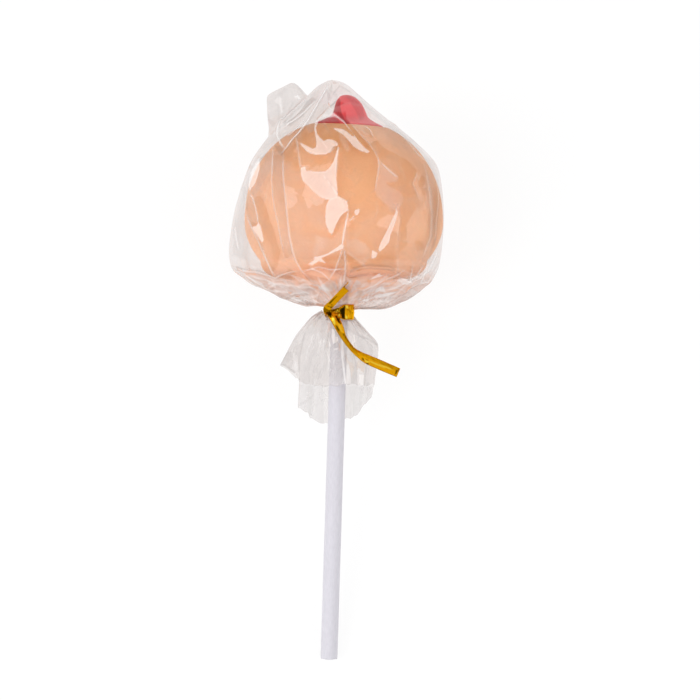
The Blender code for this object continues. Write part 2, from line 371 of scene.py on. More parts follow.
@dataclass(frozen=True)
class PaperFinish:
    """Tightly rolled white paper with faint fibres along the stick."""

    colour: Colour = (0.585, 0.57, 0.615)
    shade: Colour = (0.53, 0.515, 0.56)

    def build(self) -> bpy.types.Material:
        """Make the material: fibres stretched along the stick and a low relief.

        Returns:
            The material.
        """
        nodes = Nodes(bpy.data.materials.new("rolled paper"))
        stretched = nodes.shader("Mapping", Vector=nodes.coordinates(), Scale=(1.0, 0.12, 1.0))
        fibres = nodes.noise(stretched, 2600.0, 4.0, 0.6)
        colour = nodes.ramp(fibres, [(0.3, self.shade), (0.7, self.colour)])
        return nodes.finish(nodes.shader("BsdfPrincipled", Base_Color=colour, Roughness=0.5,
                                         Normal=nodes.bump(fibres, 0.00002),
                                         Specular_IOR_Level=0.3))


@dataclass(frozen=True)
class FilmFinish:
    """Clear cellophane: mostly see-through, with sharp reflections and a faint haze.

    The mesh's vectors "marks" hold bright creases and painted highlights, doubled film and haze,
    its vectors "facet" turn the gloss's normal where a crumpled facet lies flat, and its "warmth"
    tells how much of the candy's colour the haze picks up, a painted glow of the candy's light.
    """

    name: str = "clear film"
    tint: Colour = (0.925, 0.90, 0.891)
    doubled: Colour = (0.66, 0.637, 0.629)
    haze: float = 0.075
    crease_and_highlight_white: float = 0.72
    # the white of bright creases and painted highlights
    bright: Colour = (0.88, 0.86, 0.85)
    neutral: Colour = (0.70, 0.67, 0.66)
    # the milk's colours as the painted glow of the candy's light grows
    warm: Colour = (0.76, 0.585, 0.51)
    peach: Colour = (0.85, 0.46, 0.28)
    roughness: float = 0.05
    gloss: float = 0.085
    grazing_gloss: float = 0.22

    def build(self) -> bpy.types.Material:
        """Make the material: clear film, streaks of haze, and gloss that grows at grazing angles.

        Returns:
            The material.
        """
        nodes = Nodes(bpy.data.materials.new(self.name))
        where = nodes.coordinates()
        marks = nodes.add("SeparateXYZ", Vector=nodes.marks("marks"))
        crease, doubled, veil = (marks.outputs[name] for name in "XYZ")
        clouds = nodes.noise(where, 130.0, 5.0, 0.62, 0.8)
        cloudy = nodes.spread(clouds, 0.38, 0.66, 0.25 * self.haze, 2.1 * self.haze)
        haze = nodes.calculate("ADD", cloudy, veil, clamp=True)
        # The first mark mixes in a lit white: bright creases and painted highlights.
        ridge = nodes.calculate("MULTIPLY", crease, self.crease_and_highlight_white, clamp=True)
        bumped = nodes.bump(nodes.noise(where, 380.0, 2.0, 0.5, 0.6), 0.00004, 0.35)
        turned = nodes.add("VectorMath", {"operation": "ADD"}, in0=bumped, in1=nodes.marks("facet"))
        normal = nodes.add("VectorMath", {"operation": "NORMALIZE"}, in0=turned.outputs[0])
        tint = nodes.ramp(doubled, [(0.0, self.tint), (1.0, self.doubled)])
        # The milk takes the candy's colour by the warmth mark: a painted glow of the candy's light.
        milk = nodes.ramp(nodes.marks("warmth", "Fac"),
                          [(0.0, self.neutral), (0.5, self.warm), (1.0, self.peach)])
        milky = nodes.mix(0.4, nodes.shader("BsdfDiffuse", Color=milk),
                          nodes.shader("BsdfTranslucent", Color=milk))
        hazy = nodes.mix(haze, nodes.shader("BsdfTransparent", Color=tint), milky)
        body = nodes.mix(ridge, hazy, nodes.shader("BsdfDiffuse", Color=(*self.bright, 1.0)))
        gloss = nodes.shader("BsdfAnisotropic", Color=(1.0, 1.0, 1.0, 1.0),
                             Roughness=self.roughness, Normal=normal.outputs[0])
        facing = nodes.add("LayerWeight", Blend=0.5).outputs["Facing"]
        mirrored = nodes.spread(nodes.calculate("POWER", facing, 5.0), 0.0, 1.0, self.gloss,
                                self.grazing_gloss)
        return nodes.finish(nodes.mix(mirrored, body, gloss))


@dataclass(frozen=True)
class FoilFinish:
    """Gold metallised foil, crinkled where it is pinched.

    The mesh's "shade" tells where a painted dark reflection darkens the foil, or below 0 where a
    painted glint brightens it.
    """

    colour: Colour = (0.96, 0.465, 0.004)
    dark: Colour = (0.88, 0.385, 0.002)
    # the colour of the painted dark reflections
    painted_dark: Colour = (0.03, 0.014, 0.001)
    # the colour of the painted glints, and the metal's tint
    glint: Colour = (1.0, 0.80, 0.10)
    roughness: float = 0.15

    def build(self) -> bpy.types.Material:
        """Make the material: a metal with fine drawn lines, shallow crinkles, and painted dark reflections
        and glints.

        Returns:
            The material.
        """
        nodes = Nodes(bpy.data.materials.new("gold foil"))
        where = nodes.coordinates()
        drawn = nodes.ramp(nodes.noise(where, 900.0, 2.0), [(0.3, self.dark), (0.7, self.colour)])
        shade = nodes.marks("shade", "Fac")
        # Painted dark reflection where shade is above 0, and painted glint where it is below 0.
        shaded = nodes.blend(nodes.spread(shade, 0.0, 1.0, 0.0, 1.0), drawn, self.painted_dark)
        colour = nodes.blend(nodes.spread(shade, -1.0, 0.0, 1.0, 0.0), shaded, self.glint)
        crinkle = nodes.noise(where, 1300.0, 2.0, 0.5, 0.5)
        return nodes.finish(nodes.shader(
            "BsdfPrincipled", Base_Color=colour, Metallic=1.0, Roughness=self.roughness,
            Normal=nodes.bump(crinkle, 0.00004, 0.4), Specular_Tint=(*self.glint, 1.0)))


@dataclass(frozen=True)
class FloorFinish:
    """A matt white table that glows a little, so that shadows on it stay faint."""

    colour: Colour = (0.12, 0.12, 0.12)
    glow: float = 0.87

    def build(self) -> bpy.types.Material:
        """Make the material: matt white with an even glow."""
        nodes = Nodes(bpy.data.materials.new("table"))
        return nodes.finish(nodes.shader(
            "BsdfPrincipled", Base_Color=(*self.colour, 1.0), Roughness=0.9, Specular_IOR_Level=0.0,
            Emission_Color=(1.0, 1.0, 1.0, 1.0), Emission_Strength=self.glow))


@dataclass
class CandyHead:
    """The round head with its flat base, the cap's seat and the stick's socket."""

    frame: StandingFrame
    radius: float = 29.1
    base_radius: float = 17.6
    seat_height: float = 45.0
    corner: float = 5.3
    shift: float = 0.9
    lean: float = math.radians(1.8)
    cap_shift: float = 0.8
    cap_lean: float = math.radians(-1.6)
    socket_radius: float = 2.8
    socket_depth: float = 20.3
    columns: int = 256

    def outer_profile(self) -> Points:
        """Give the (radius, height) points from the crown down to the base's edge.

        The dome is a superellipse quarter, the flank draws in with the square of the way down, and
        the corner is a quarter ellipse.

        Returns:
            An array (points, 2).
        """
        belly = 0.37 * self.seat_height
        crown = self.seat_height + 2.0
        angle = 0.5 * math.pi * np.linspace(0.0, 1.0, 90)
        dome = np.stack((self.radius * np.sin(angle) ** 0.94,
                         belly + (crown - belly) * np.cos(angle) ** 0.92), axis=1)
        part = np.linspace(0.0, 1.0, 30, endpoint=False)[1:]
        corner_reach = self.corner + 1.5
        drawn_in = self.radius - self.base_radius - corner_reach
        flank = np.stack((self.radius - drawn_in * part ** 2,
                          belly + part * (self.corner - belly)), axis=1)
        turn = 0.5 * math.pi * np.linspace(0.0, 1.0, 16)
        corner = np.stack((self.base_radius + corner_reach * np.cos(turn),
                           self.corner * (1.0 - np.sin(turn))), axis=1)
        return np.concatenate((dome, flank, corner))

    def profile(self) -> Points:
        """Give the whole profile: the outside, the flat base and the socket's wall and end.

        Returns:
            Its (radius, height) points.
        """
        base = np.stack((np.linspace(self.base_radius, self.socket_radius, 14)[1:],
                         np.zeros(13)), axis=1)
        wall = np.array(((self.socket_radius, self.socket_depth), (0.0, self.socket_depth)))
        return np.concatenate((self.outer_profile(), base, wall))

    def leaning(self, points: Points, lean: float, shift: float, height: float = 0.0) -> Points:
        """Lean points about a foot on the shown side's middle plane.

        Args:
            points: points (..., 3) round the upright axis.
            lean: the angle, to the left when it is above 0.
            shift: the foot's place to the right.
            height: the foot's height.

        Returns:
            The leaning points.
        """
        x, y, z = np.moveaxis(points, -1, 0)
        return np.stack((shift + x * math.cos(lean) - z * math.sin(lean), y,
                         height + x * math.sin(lean) + z * math.cos(lean)), axis=-1)

    def clear_radius(self, points: Points) -> tuple[Points, Points, Points]:
        """Measure points against the head.

        Args:
            points: points (..., 3) in the standing frame.

        Returns:
            Each point's place across the head's axis, to the right and to the back, and the
            head's radius at its height.
        """
        x, y, z = np.moveaxis(points, -1, 0)
        across = (x - self.shift) * math.cos(self.lean) + z * math.sin(self.lean)
        height = -(x - self.shift) * math.sin(self.lean) + z * math.cos(self.lean)
        outline = self.outer_profile()[::-1]
        radius = np.interp(height, outline[:, 1], outline[:, 0], left=0.0, right=0.0)
        radius = np.where(height > self.seat_height + 0.4, 0.0, radius)
        return across, y, radius

    def make(self) -> None:
        """Build the head: the profile turned about its axis, a little uneven, its seat cut flat."""
        outline = self.profile()
        angle = np.linspace(0.0, TURN, self.columns, endpoint=False)
        radius, height = outline[:, :1], outline[:, 1:]
        uneven = 0.12 * np.sin(2.0 * angle + 0.7) + 0.08 * np.sin(3.0 * angle + height / 9.0)
        body = np.where((height > 0.1) & (radius > 6.0), radius + uneven * rise(radius, 6.0, 20.0),
                        radius)
        points = np.stack((body * np.cos(angle), -body * np.sin(angle),
                           np.broadcast_to(height, body.shape)), axis=-1)
        points = self.leaning(points, self.lean, self.shift)
        normal = np.array((-math.sin(self.cap_lean), 0.0, math.cos(self.cap_lean)))
        seat = np.array((self.cap_shift, 0.0, self.seat_height))
        above = np.maximum((points - seat) @ normal, 0.0)
        points -= above[..., None] * normal
        finish = CandyFinish("peach candy", colour=(0.85, 0.39, 0.155), pale=(0.92, 0.46, 0.21),
                             painted_dark=(0.72, 0.29, 0.10), roughness=0.6, grain=0.00005, depth=0.0006)
        piece = surface("candy_head", self.frame.to_world(points), closed=True)
        place(piece, finish.build(), "candy")


@dataclass
class PinkCap:
    """The pink cap: a thin rim, a low cone and a knob that is pressed in at its sides.

    Each shade is an outline and how far painted shade darkens the colour inside it.
    """

    frame: StandingFrame
    head: CandyHead
    radius: float = 9.9
    height: float = 9.15
    shift: float = 1.1
    lobe_depth: float = 0.05
    columns: int = 200
    shades: Shades = field(default_factory=lambda: [
        (((-1.9, 52.9), (-1.6, 52.3), (-1.7, 50.9), (-1.2, 48.8), (-0.4, 47.2), (0.8, 46.2),
         (1.5, 46.2), (0.5, 45.5), (-0.7, 46.2), (-1.9, 47.6), (-3.1, 48.9), (-4.6, 49.0),
         (-3.2, 51.1)), 0.8),
        (((-4.3, 47.7), (-2.5, 47.3), (-1.6, 46.0), (-2.1, 45.3), (-8.6, 45.6), (-6.9, 46.6)), 0.55),
        (((-0.3, 54.1), (1.7, 53.6), (3.5, 52.5), (5.1, 50.5), (5.5, 47.5), (4.3, 46.6),
         (3.0, 49.2), (1.5, 51.8)), 0.32),
        (((1.1, 45.8), (5.8, 45.8), (11.4, 45.5), (11.4, 45.1), (1.1, 45.1)), 0.25)])

    def make(self) -> None:
        """Build the cap: a profile turned about its axis, its knob drawn into soft lobes, with painted
        shade.
        """
        top = self.height
        knots = [(0.0, top), (1.1, top - 0.12), (2.2, top - 0.6), (3.25, top - 1.6),
                 (4.0, top - 2.8), (4.45, top - 4.0), (4.85, top - 5.1), (5.6, top - 6.4),
                 (7.5, top - 7.6), (self.radius - 0.3, 0.62), (self.radius, 0.3),
                 (self.radius - 0.05, 0.03)]
        outline = smooth_curve(knots, np.linspace(0.0, len(knots) - 1.0, 130))
        outline[:, 0] = np.maximum(outline[:, 0], 0.0)
        outline[0, 0] = 0.0
        outline = np.concatenate((outline, ((7.0, 0.03), (3.5, 0.03), (0.0, 0.03))))
        angle = np.linspace(0.0, TURN, self.columns, endpoint=False)
        radius, height = outline[:, :1], outline[:, 1:]
        knob = rise(height, 2.2, 4.5) * rise(top - height, 0.0, 2.5)
        lobes = 1.0 + self.lobe_depth * knob * np.cos(3.0 * angle + 0.6)
        rim = 1.0 + 0.012 * np.sin(5.0 * angle) * rise(radius, 7.0, 9.9)
        reach = radius * lobes * rim
        tipped = -0.075 * np.maximum(height - 2.0, 0.0) ** 1.35
        points = np.stack((reach * np.cos(angle) + tipped, -reach * np.sin(angle),
                           np.broadcast_to(height, reach.shape)), axis=-1)
        points = self.head.leaning(points, self.head.cap_lean, self.shift, self.head.seat_height)
        x, z = projected(points)
        # Painted shade: darker patches on the knob's left and right facets and along part of the rim, front
        # only.
        shade = np.zeros(x.shape)
        for patch, depth in self.shades:
            shade = np.maximum(shade, depth * within(patch, x, z, 0.12))
        shade *= points[..., 1] < 0.0
        finish = CandyFinish("pink candy", colour=(0.84, 0.058, 0.07), pale=(0.88, 0.09, 0.102),
                             painted_dark=(0.42, 0.012, 0.02), roughness=0.42, grain=0.00002, depth=0.0004)
        piece = surface("pink_knob_cap", self.frame.to_world(points), closed=True, shade=shade)
        place(piece, finish.build(), "pink_cap")


@dataclass
class PaperStick:
    """The rolled paper stick with its spiral seam and slightly frayed lower end."""

    frame: StandingFrame
    radius: float = 2.5
    top: float = 20.0
    bottom: float = -111.8
    seam_pitch: float = 26.0
    seam_step: float = 0.035
    columns: int = 72

    def make(self) -> None:
        """Build the stick: a tube whose paper edge steps down along a helix."""
        height = np.concatenate((np.linspace(self.top, self.bottom + 0.3, 420),
                                 (self.bottom + 0.12, self.bottom + 0.02)))[:, None]
        angle = np.linspace(0.0, TURN, self.columns, endpoint=False)
        along = np.mod(angle / TURN + height / self.seam_pitch, 1.0)
        radius = self.radius - self.seam_step * along
        edge = rise(height, self.bottom, self.bottom + 0.5)
        fray = 0.05 * np.sin(5.0 * angle + 1.0) + 0.04 * np.sin(11.0 * angle)
        radius = radius + (1.0 - edge) * (fray - 0.12)
        drop = (1.0 - rise(height, self.bottom, self.bottom + 1.2)) * 0.10 * np.sin(3.0 * angle)
        side = np.stack((radius * np.cos(angle), -radius * np.sin(angle),
                         np.broadcast_to(height, radius.shape) + drop), axis=-1)
        wind = np.linspace(0.86, 0.0, 12)[:, None]
        end_radius = self.radius * wind
        rolled = 0.10 * np.cos(9.0 * wind * math.pi + angle) * wind
        end = np.stack((end_radius * np.cos(angle), -end_radius * np.sin(angle),
                        self.bottom + 0.10 + rolled), axis=-1)
        end[-1] = end[-1].mean(axis=0)
        lid = side[:1] * np.array((0.0, 0.0, 1.0)) + np.zeros_like(side[:1])
        points = np.concatenate((lid, side, end))
        world = self.frame.to_world(points)
        world[..., 2] = np.maximum(world[..., 2], 0.0)
        piece = surface("rolled_stick", world, closed=True)
        place(piece, PaperFinish().build(), "stick")


@dataclass(frozen=True)
class View:
    """Where the shown side is seen from: straight ahead of a point on the upright plane.

    The plane stands on the stick's axis. The lens and the sensor are in millimetres, and width is
    how much of the plane the picture holds.
    """

    right: float = 3.4
    up: float = -20.8
    width: float = 205.88
    lens: float = 200.0
    sensor: float = 36.0
    roll: float = math.radians(1.76)

    @property
    def distance(self) -> float:
        """Give how far the eye is from the plane."""
        return self.width * self.lens / self.sensor


VIEW = View()


def projected(points: Points) -> tuple[Points, Points]:
    """Cast points from the eye onto the upright plane, where folds, facets and shades are laid out.

    Args:
        points: points (..., 3) in the standing frame.

    Returns:
        Their places to the right and up on the plane.
    """
    widen = VIEW.distance / (VIEW.distance + points[..., 1])
    return (VIEW.right + (points[..., 0] - VIEW.right) * widen,
            VIEW.up + (points[..., 2] - VIEW.up) * widen)


class Gleam(Enum):
    """The two gleaming lamps: where each one hangs, as right, front and up."""

    LEFT = (-0.50, 0.80, 0.55)
    RIGHT = (0.78, 0.62, -0.05)


def to_path(path: Path, x: Points, z: Points) -> tuple[Points, Points]:
    """Measure points against a path of straight steps.

    Args:
        path: the path's (right, up) points.
        x: places to the right.
        z: heights.

    Returns:
        The distance to the path and how far along it the nearest point lies, both in millimetres.
    """
    knots = np.asarray(path)
    steps = np.diff(knots, axis=0)
    lengths = np.hypot(*steps.T)
    starts = np.concatenate(((0.0,), np.cumsum(lengths)[:-1]))
    nearest = np.full(x.shape, np.inf)
    along = np.zeros(x.shape)
    for knot, step, length, start in zip(knots, steps, lengths, starts):
        part = np.clip(((x - knot[0]) * step[0] + (z - knot[1]) * step[1]) / length ** 2, 0.0, 1.0)
        away = np.hypot(x - knot[0] - part * step[0], z - knot[1] - part * step[1])
        closer = away < nearest
        nearest = np.where(closer, away, nearest)
        along = np.where(closer, start + part * length, along)
    return nearest, along


def within(outline: Path, x: Points, z: Points, soft: float) -> Points:
    """Tell how far points lie inside an outline.

    A point is inside when a ray to the right crosses the outline an odd number of times.

    Args:
        outline: the outline's corners, right and up.
        x: places to the right.
        z: heights.
        soft: how far the edge fades to either side.

    Returns:
        1 inside, 0 outside, and between them at the edge.
    """
    knots = (*outline, outline[0])
    crossings = np.zeros(x.shape, dtype=int)
    for (x0, z0), (x1, z1) in zip(knots[:-1], knots[1:]):
        spans = (z0 > z) != (z1 > z)
        reach = x0 + (z - z0) * (x1 - x0) / (z1 - z0 if z1 != z0 else 1.0)
        crossings += spans & (x < reach)
    distance, _ = to_path(knots, x, z)
    return rise(np.where(crossings % 2 == 1, distance, -distance), -soft, soft)


@dataclass
class FilmMarks:
    """What the film's material reads at each point of a panel.

    The three numbers of marks are bright creases and painted highlights, doubled film and haze.
    """

    points: Points
    normal: Points
    x: Points = field(init=False)
    z: Points = field(init=False)
    marks: Points = field(init=False)
    facet: Points = field(init=False)
    warmth: Points = field(init=False)

    def __post_init__(self) -> None:
        """Project the points and start with plain film."""
        self.x, self.z = projected(self.points)
        self.marks = np.zeros(self.points.shape)
        self.facet = np.zeros(self.points.shape)
        self.warmth = np.zeros(self.x.shape)

    def dress(self, name: str, world: Points, closed: bool, frame: StandingFrame,
              material: bpy.types.Material) -> None:
        """Make the panel's piece with its marks.

        Args:
            name: the piece's name.
            world: the panel's points where they lie.
            closed: whether the panel goes all the way round.
            frame: the standing frame, which turns the facets' vectors.
            material: the film.
        """
        piece = surface(name, world, closed, marks=np.clip(self.marks, -1.0, 1.0),
                        facet=frame.turned(self.facet), warmth=np.clip(self.warmth, 0.0, 1.0))
        place(piece, material, "film_bag")


@dataclass(frozen=True)
class Fold:
    """A fold in the film: a ridge or a valley along a path of (right, up) points.

    The film stands off by lift along the path, and its flanks fall away over reach with the square
    of the distance, so that a round panel between two ridges turns flat. The fold's line has a painted
    highlight, with a rim of painted shade on both sides. The edge is how round the fold is, and fade
    the share of its length over which it dies away at either end.
    """

    path: Path
    lift: float = 0.0
    reach: float = 3.0
    bright: float = 0.0
    dark: float = 0.0
    width: float = 0.16
    edge: float = 0.15
    fade: float = 0.15

    def press(self, film: FilmMarks) -> Points:
        """Mark the fold's line and give its relief.

        Args:
            film: the panel's points and marks.

        Returns:
            How far the film stands off at each point.
        """
        nearest, along = to_path(self.path, film.x, film.z)
        total = np.hypot(*np.diff(np.asarray(self.path), axis=0).T).sum()
        ends = rise(np.minimum(along, total - along), -1e-6, max(self.fade * total, 1e-3))
        strength = 0.25 + 0.75 * ends
        # Painted highlight along the fold's line, and painted shade in a rim on both sides.
        film.marks[..., 0] += self.bright * strength * np.exp(-(nearest / self.width) ** 2)
        film.marks[..., 1] += self.dark * strength * np.exp(-(nearest / self.width - 2.0) ** 2)
        away = np.hypot(nearest, self.edge) - self.edge
        return self.lift * strength * np.maximum(1.0 - away / self.reach, 0.0) ** 2


def halfway(gleam: Gleam) -> np.ndarray:
    """Give the normal that mirrors a lamp to the viewer.

    Args:
        gleam: the lamp.

    Returns:
        The unit normal: right, back and up.
    """
    right, front, up = gleam.value
    lamp = np.array((right, -front, up)) / math.hypot(right, front, up)
    middle = lamp + np.array((0.0, -1.0, 0.0))
    return middle / np.linalg.norm(middle)


@dataclass(frozen=True)
class Facet:
    """A flat, crumpled facet that mirrors one of the gleaming lamps and carries a painted highlight,
    whitest at its rim.

    White is how strong the painted highlight is, and within about rim_width of its edge it is whiter
    by rim_white of that.
    """

    outline: Path
    gleam: Gleam = Gleam.LEFT
    white: float = 0.45
    rim_white: float = 0.4
    rim_width: float = 0.25

    def press(self, film: FilmMarks) -> None:
        """Paint the facet's highlight white and turn its gloss halfway between the front and the lamp.

        Args:
            film: the panel's points and marks.
        """
        inside = within(self.outline, film.x, film.z, 0.12)
        nearest, _ = to_path((*self.outline, self.outline[0]), film.x, film.z)
        # Painted highlight: white over the facet, whiter near its rim.
        white = self.white * (1.0 + self.rim_white * np.exp(-(nearest / self.rim_width) ** 2))
        film.marks[..., 0] = np.maximum(film.marks[..., 0], white * inside)
        film.facet += inside[..., None] * (halfway(self.gleam) - film.normal - film.facet)


@dataclass(frozen=True)
class Veil:
    """A part of the film that lies double or clings, so that it looks darker or milky, or that carries
    painted light.

    Doubled darkens it and haze whitens it. Bright whitens it as a painted highlight, warmth is how
    much of the candy's colour the haze picks up, a painted glow of the candy's light, and soft is how
    far the edge fades. A value below 0 takes away what lies there.
    """

    outline: Path
    doubled: float = 0.0
    haze: float = 0.0
    soft: float = 0.15
    warmth: float = 0.0
    bright: float = 0.0

    def press(self, film: FilmMarks) -> None:
        """Add the doubling, the haze, the painted glow in its colour and the painted highlight inside the
        outline.

        Args:
            film: the panel's points and marks.
        """
        inside = within(self.outline, film.x, film.z, self.soft)
        # Painted highlight: a white over the film.
        film.marks[..., 0] += self.bright * inside
        film.marks[..., 1] += self.doubled * inside
        film.marks[..., 2] += self.haze * inside
        # Painted glow of the candy's light in the haze's colour.
        film.warmth += self.warmth * inside


@dataclass(frozen=True)
class Crumple:
    """A band between two heights where short folds run roughly towards the neck.

    Lift, reach, bright and dark are the most that a fold gets.
    """

    count: int
    low: float
    high: float
    lift: float
    reach: float
    bright: float
    dark: float

    def folds(self, draw: np.random.Generator) -> list[Fold]:
        """Draw the folds, each through three points.

        Args:
            draw: the random draws.

        Returns:
            The folds.
        """
        folds = []
        for _ in range(self.count):
            z = draw.uniform(self.low, self.high)
            x = draw.uniform(-31.0, 29.0)
            heading = math.atan2(-9.0 - z, -x) + draw.normal(0.0, 0.5)
            length = draw.uniform(4.0, 14.0)
            bend = draw.normal(0.0, 0.12) * length
            across, up = math.cos(heading), math.sin(heading)
            middle = (x + 0.5 * length * across - bend * up, z + 0.5 * length * up + bend * across)
            end = (x + length * across, z + length * up)
            size = draw.uniform(0.3, 1.0)
            folds.append(Fold(((x, z), middle, end), self.lift * draw.choice((-0.7, 1.0)) * size,
                              self.reach * size, self.bright * draw.uniform(0.0, 1.0),
                              self.dark * draw.uniform(0.0, 1.0), draw.uniform(0.12, 0.32),
                              0.12, 0.45))
        return folds


@dataclass
class FilmShape:
    """The unfolded form of the bag, from the top ridge down to the neck.

    Right, left and front are the outlines' (height, reach) knots. Slack is how much deeper the
    back hangs. The corner's outline is drawn out of the left one between its two stations.
    """

    right: Knots = field(default_factory=lambda: [
        (58.5, -4.4), (57.0, 0.0), (49.4, 9.3), (41.0, 20.6), (33.6, 27.6), (20.0, 29.8),
        (7.0, 29.2), (0.4, 26.9), (-4.8, 20.7), (-8.0, 13.6), (-8.9, 4.2), (-12.3, 3.9)])
    left: Knots = field(default_factory=lambda: [
        (58.5, 4.4), (56.4, 8.6), (50.0, 14.6), (41.0, 22.6), (33.0, 27.7), (19.9, 31.6),
        (7.5, 33.1), (1.2, 31.2), (-4.3, 20.6), (-7.3, 12.9), (-8.1, 4.0), (-12.3, 3.9)])
    front: Knots = field(default_factory=lambda: [
        (58.5, 0.0), (55.4, 5.8), (50.5, 11.0), (42.5, 19.2), (34.5, 25.8), (19.0, 29.9),
        (7.0, 28.6), (0.0, 22.8), (-4.5, 12.6), (-7.6, 6.8), (-8.9, 4.2), (-12.3, 3.9)])
    back_slack: float = 1.5
    corner: Knots = field(default_factory=lambda: [
        (53.4, 11.2), (56.7, 14.6), (57.2, 16.3), (56.0, 18.6), (53.4, 23.0), (50.0, 23.2),
        (46.5, 22.9), (43.6, 22.5), (41.0, 22.6)])
    corner_stations: tuple[float, float] = (1.5, 3.0)
    corner_half_angle: float = 0.18
    roundness: float = 0.38

    def points(self, place_down: np.ndarray, angle: np.ndarray) -> Points:
        """Give the form's points.

        Height and reach run along three outlines, right, left and front, and blend round the axis
        with the squares of the angle's cosine and sine. On the left the corner of the bag is
        drawn out to its own outline.

        Args:
            place_down: a column of fractional indices down the outlines.
            angle: a row of angles, 0 on the right and a quarter turn at the front.

        Returns:
            An array (rows, columns, 3).
        """
        right, left, front = (smooth_curve(knots, place_down, self.roundness)
                              for knots in (self.right, self.left, self.front))
        across, ahead = np.cos(angle), np.sin(angle)
        side_height = np.where(across > 0.0, right[..., 0], left[..., 0])
        height = side_height * across ** 2 + front[..., 0] * ahead ** 2
        centre = 0.5 * (right[..., 1] - left[..., 1])
        reach = 0.5 * (right[..., 1] + left[..., 1]) + 0.0 * angle
        slack = self.back_slack * np.sin(math.pi * np.clip((place_down - 3.0) / 5.0, 0.0, 1.0))
        depth = front[..., 1] + np.where(ahead < 0.0, slack, 0.0)

        first, last = self.corner_stations
        share = (place_down - first) / (last - first)
        outline = smooth_curve(self.corner, (len(self.corner) - 1) * np.clip(share, 0.0, 1.0),
                               self.roundness)
        turn = np.abs(np.mod(angle, TURN) - math.pi) / self.corner_half_angle
        pull = np.clip(1.0 - turn, 0.0, 1.0) ** 1.3 * ((share > 0.0) & (share < 1.0))
        height = height + pull * (outline[..., 0] - height)
        reach = reach + pull * (outline[..., 1] - (reach - centre))
        return np.stack((centre + reach * across, -depth * ahead, height), axis=-1)


def outward(points: Points) -> Points:
    """Give the normals of a grid of points: its steps along a row crossed with those down.

    Args:
        points: an array (rows, columns, 3).

    Returns:
        The unit normals, of the same shape.
    """
    normal = np.cross(np.gradient(points, axis=1), np.gradient(points, axis=0))
    length = np.linalg.norm(normal, axis=-1, keepdims=True)
    return normal / np.maximum(length, 1e-9)


class Side(Enum):
    """The bag's two panels."""

    FRONT = "front"
    BACK = "back"


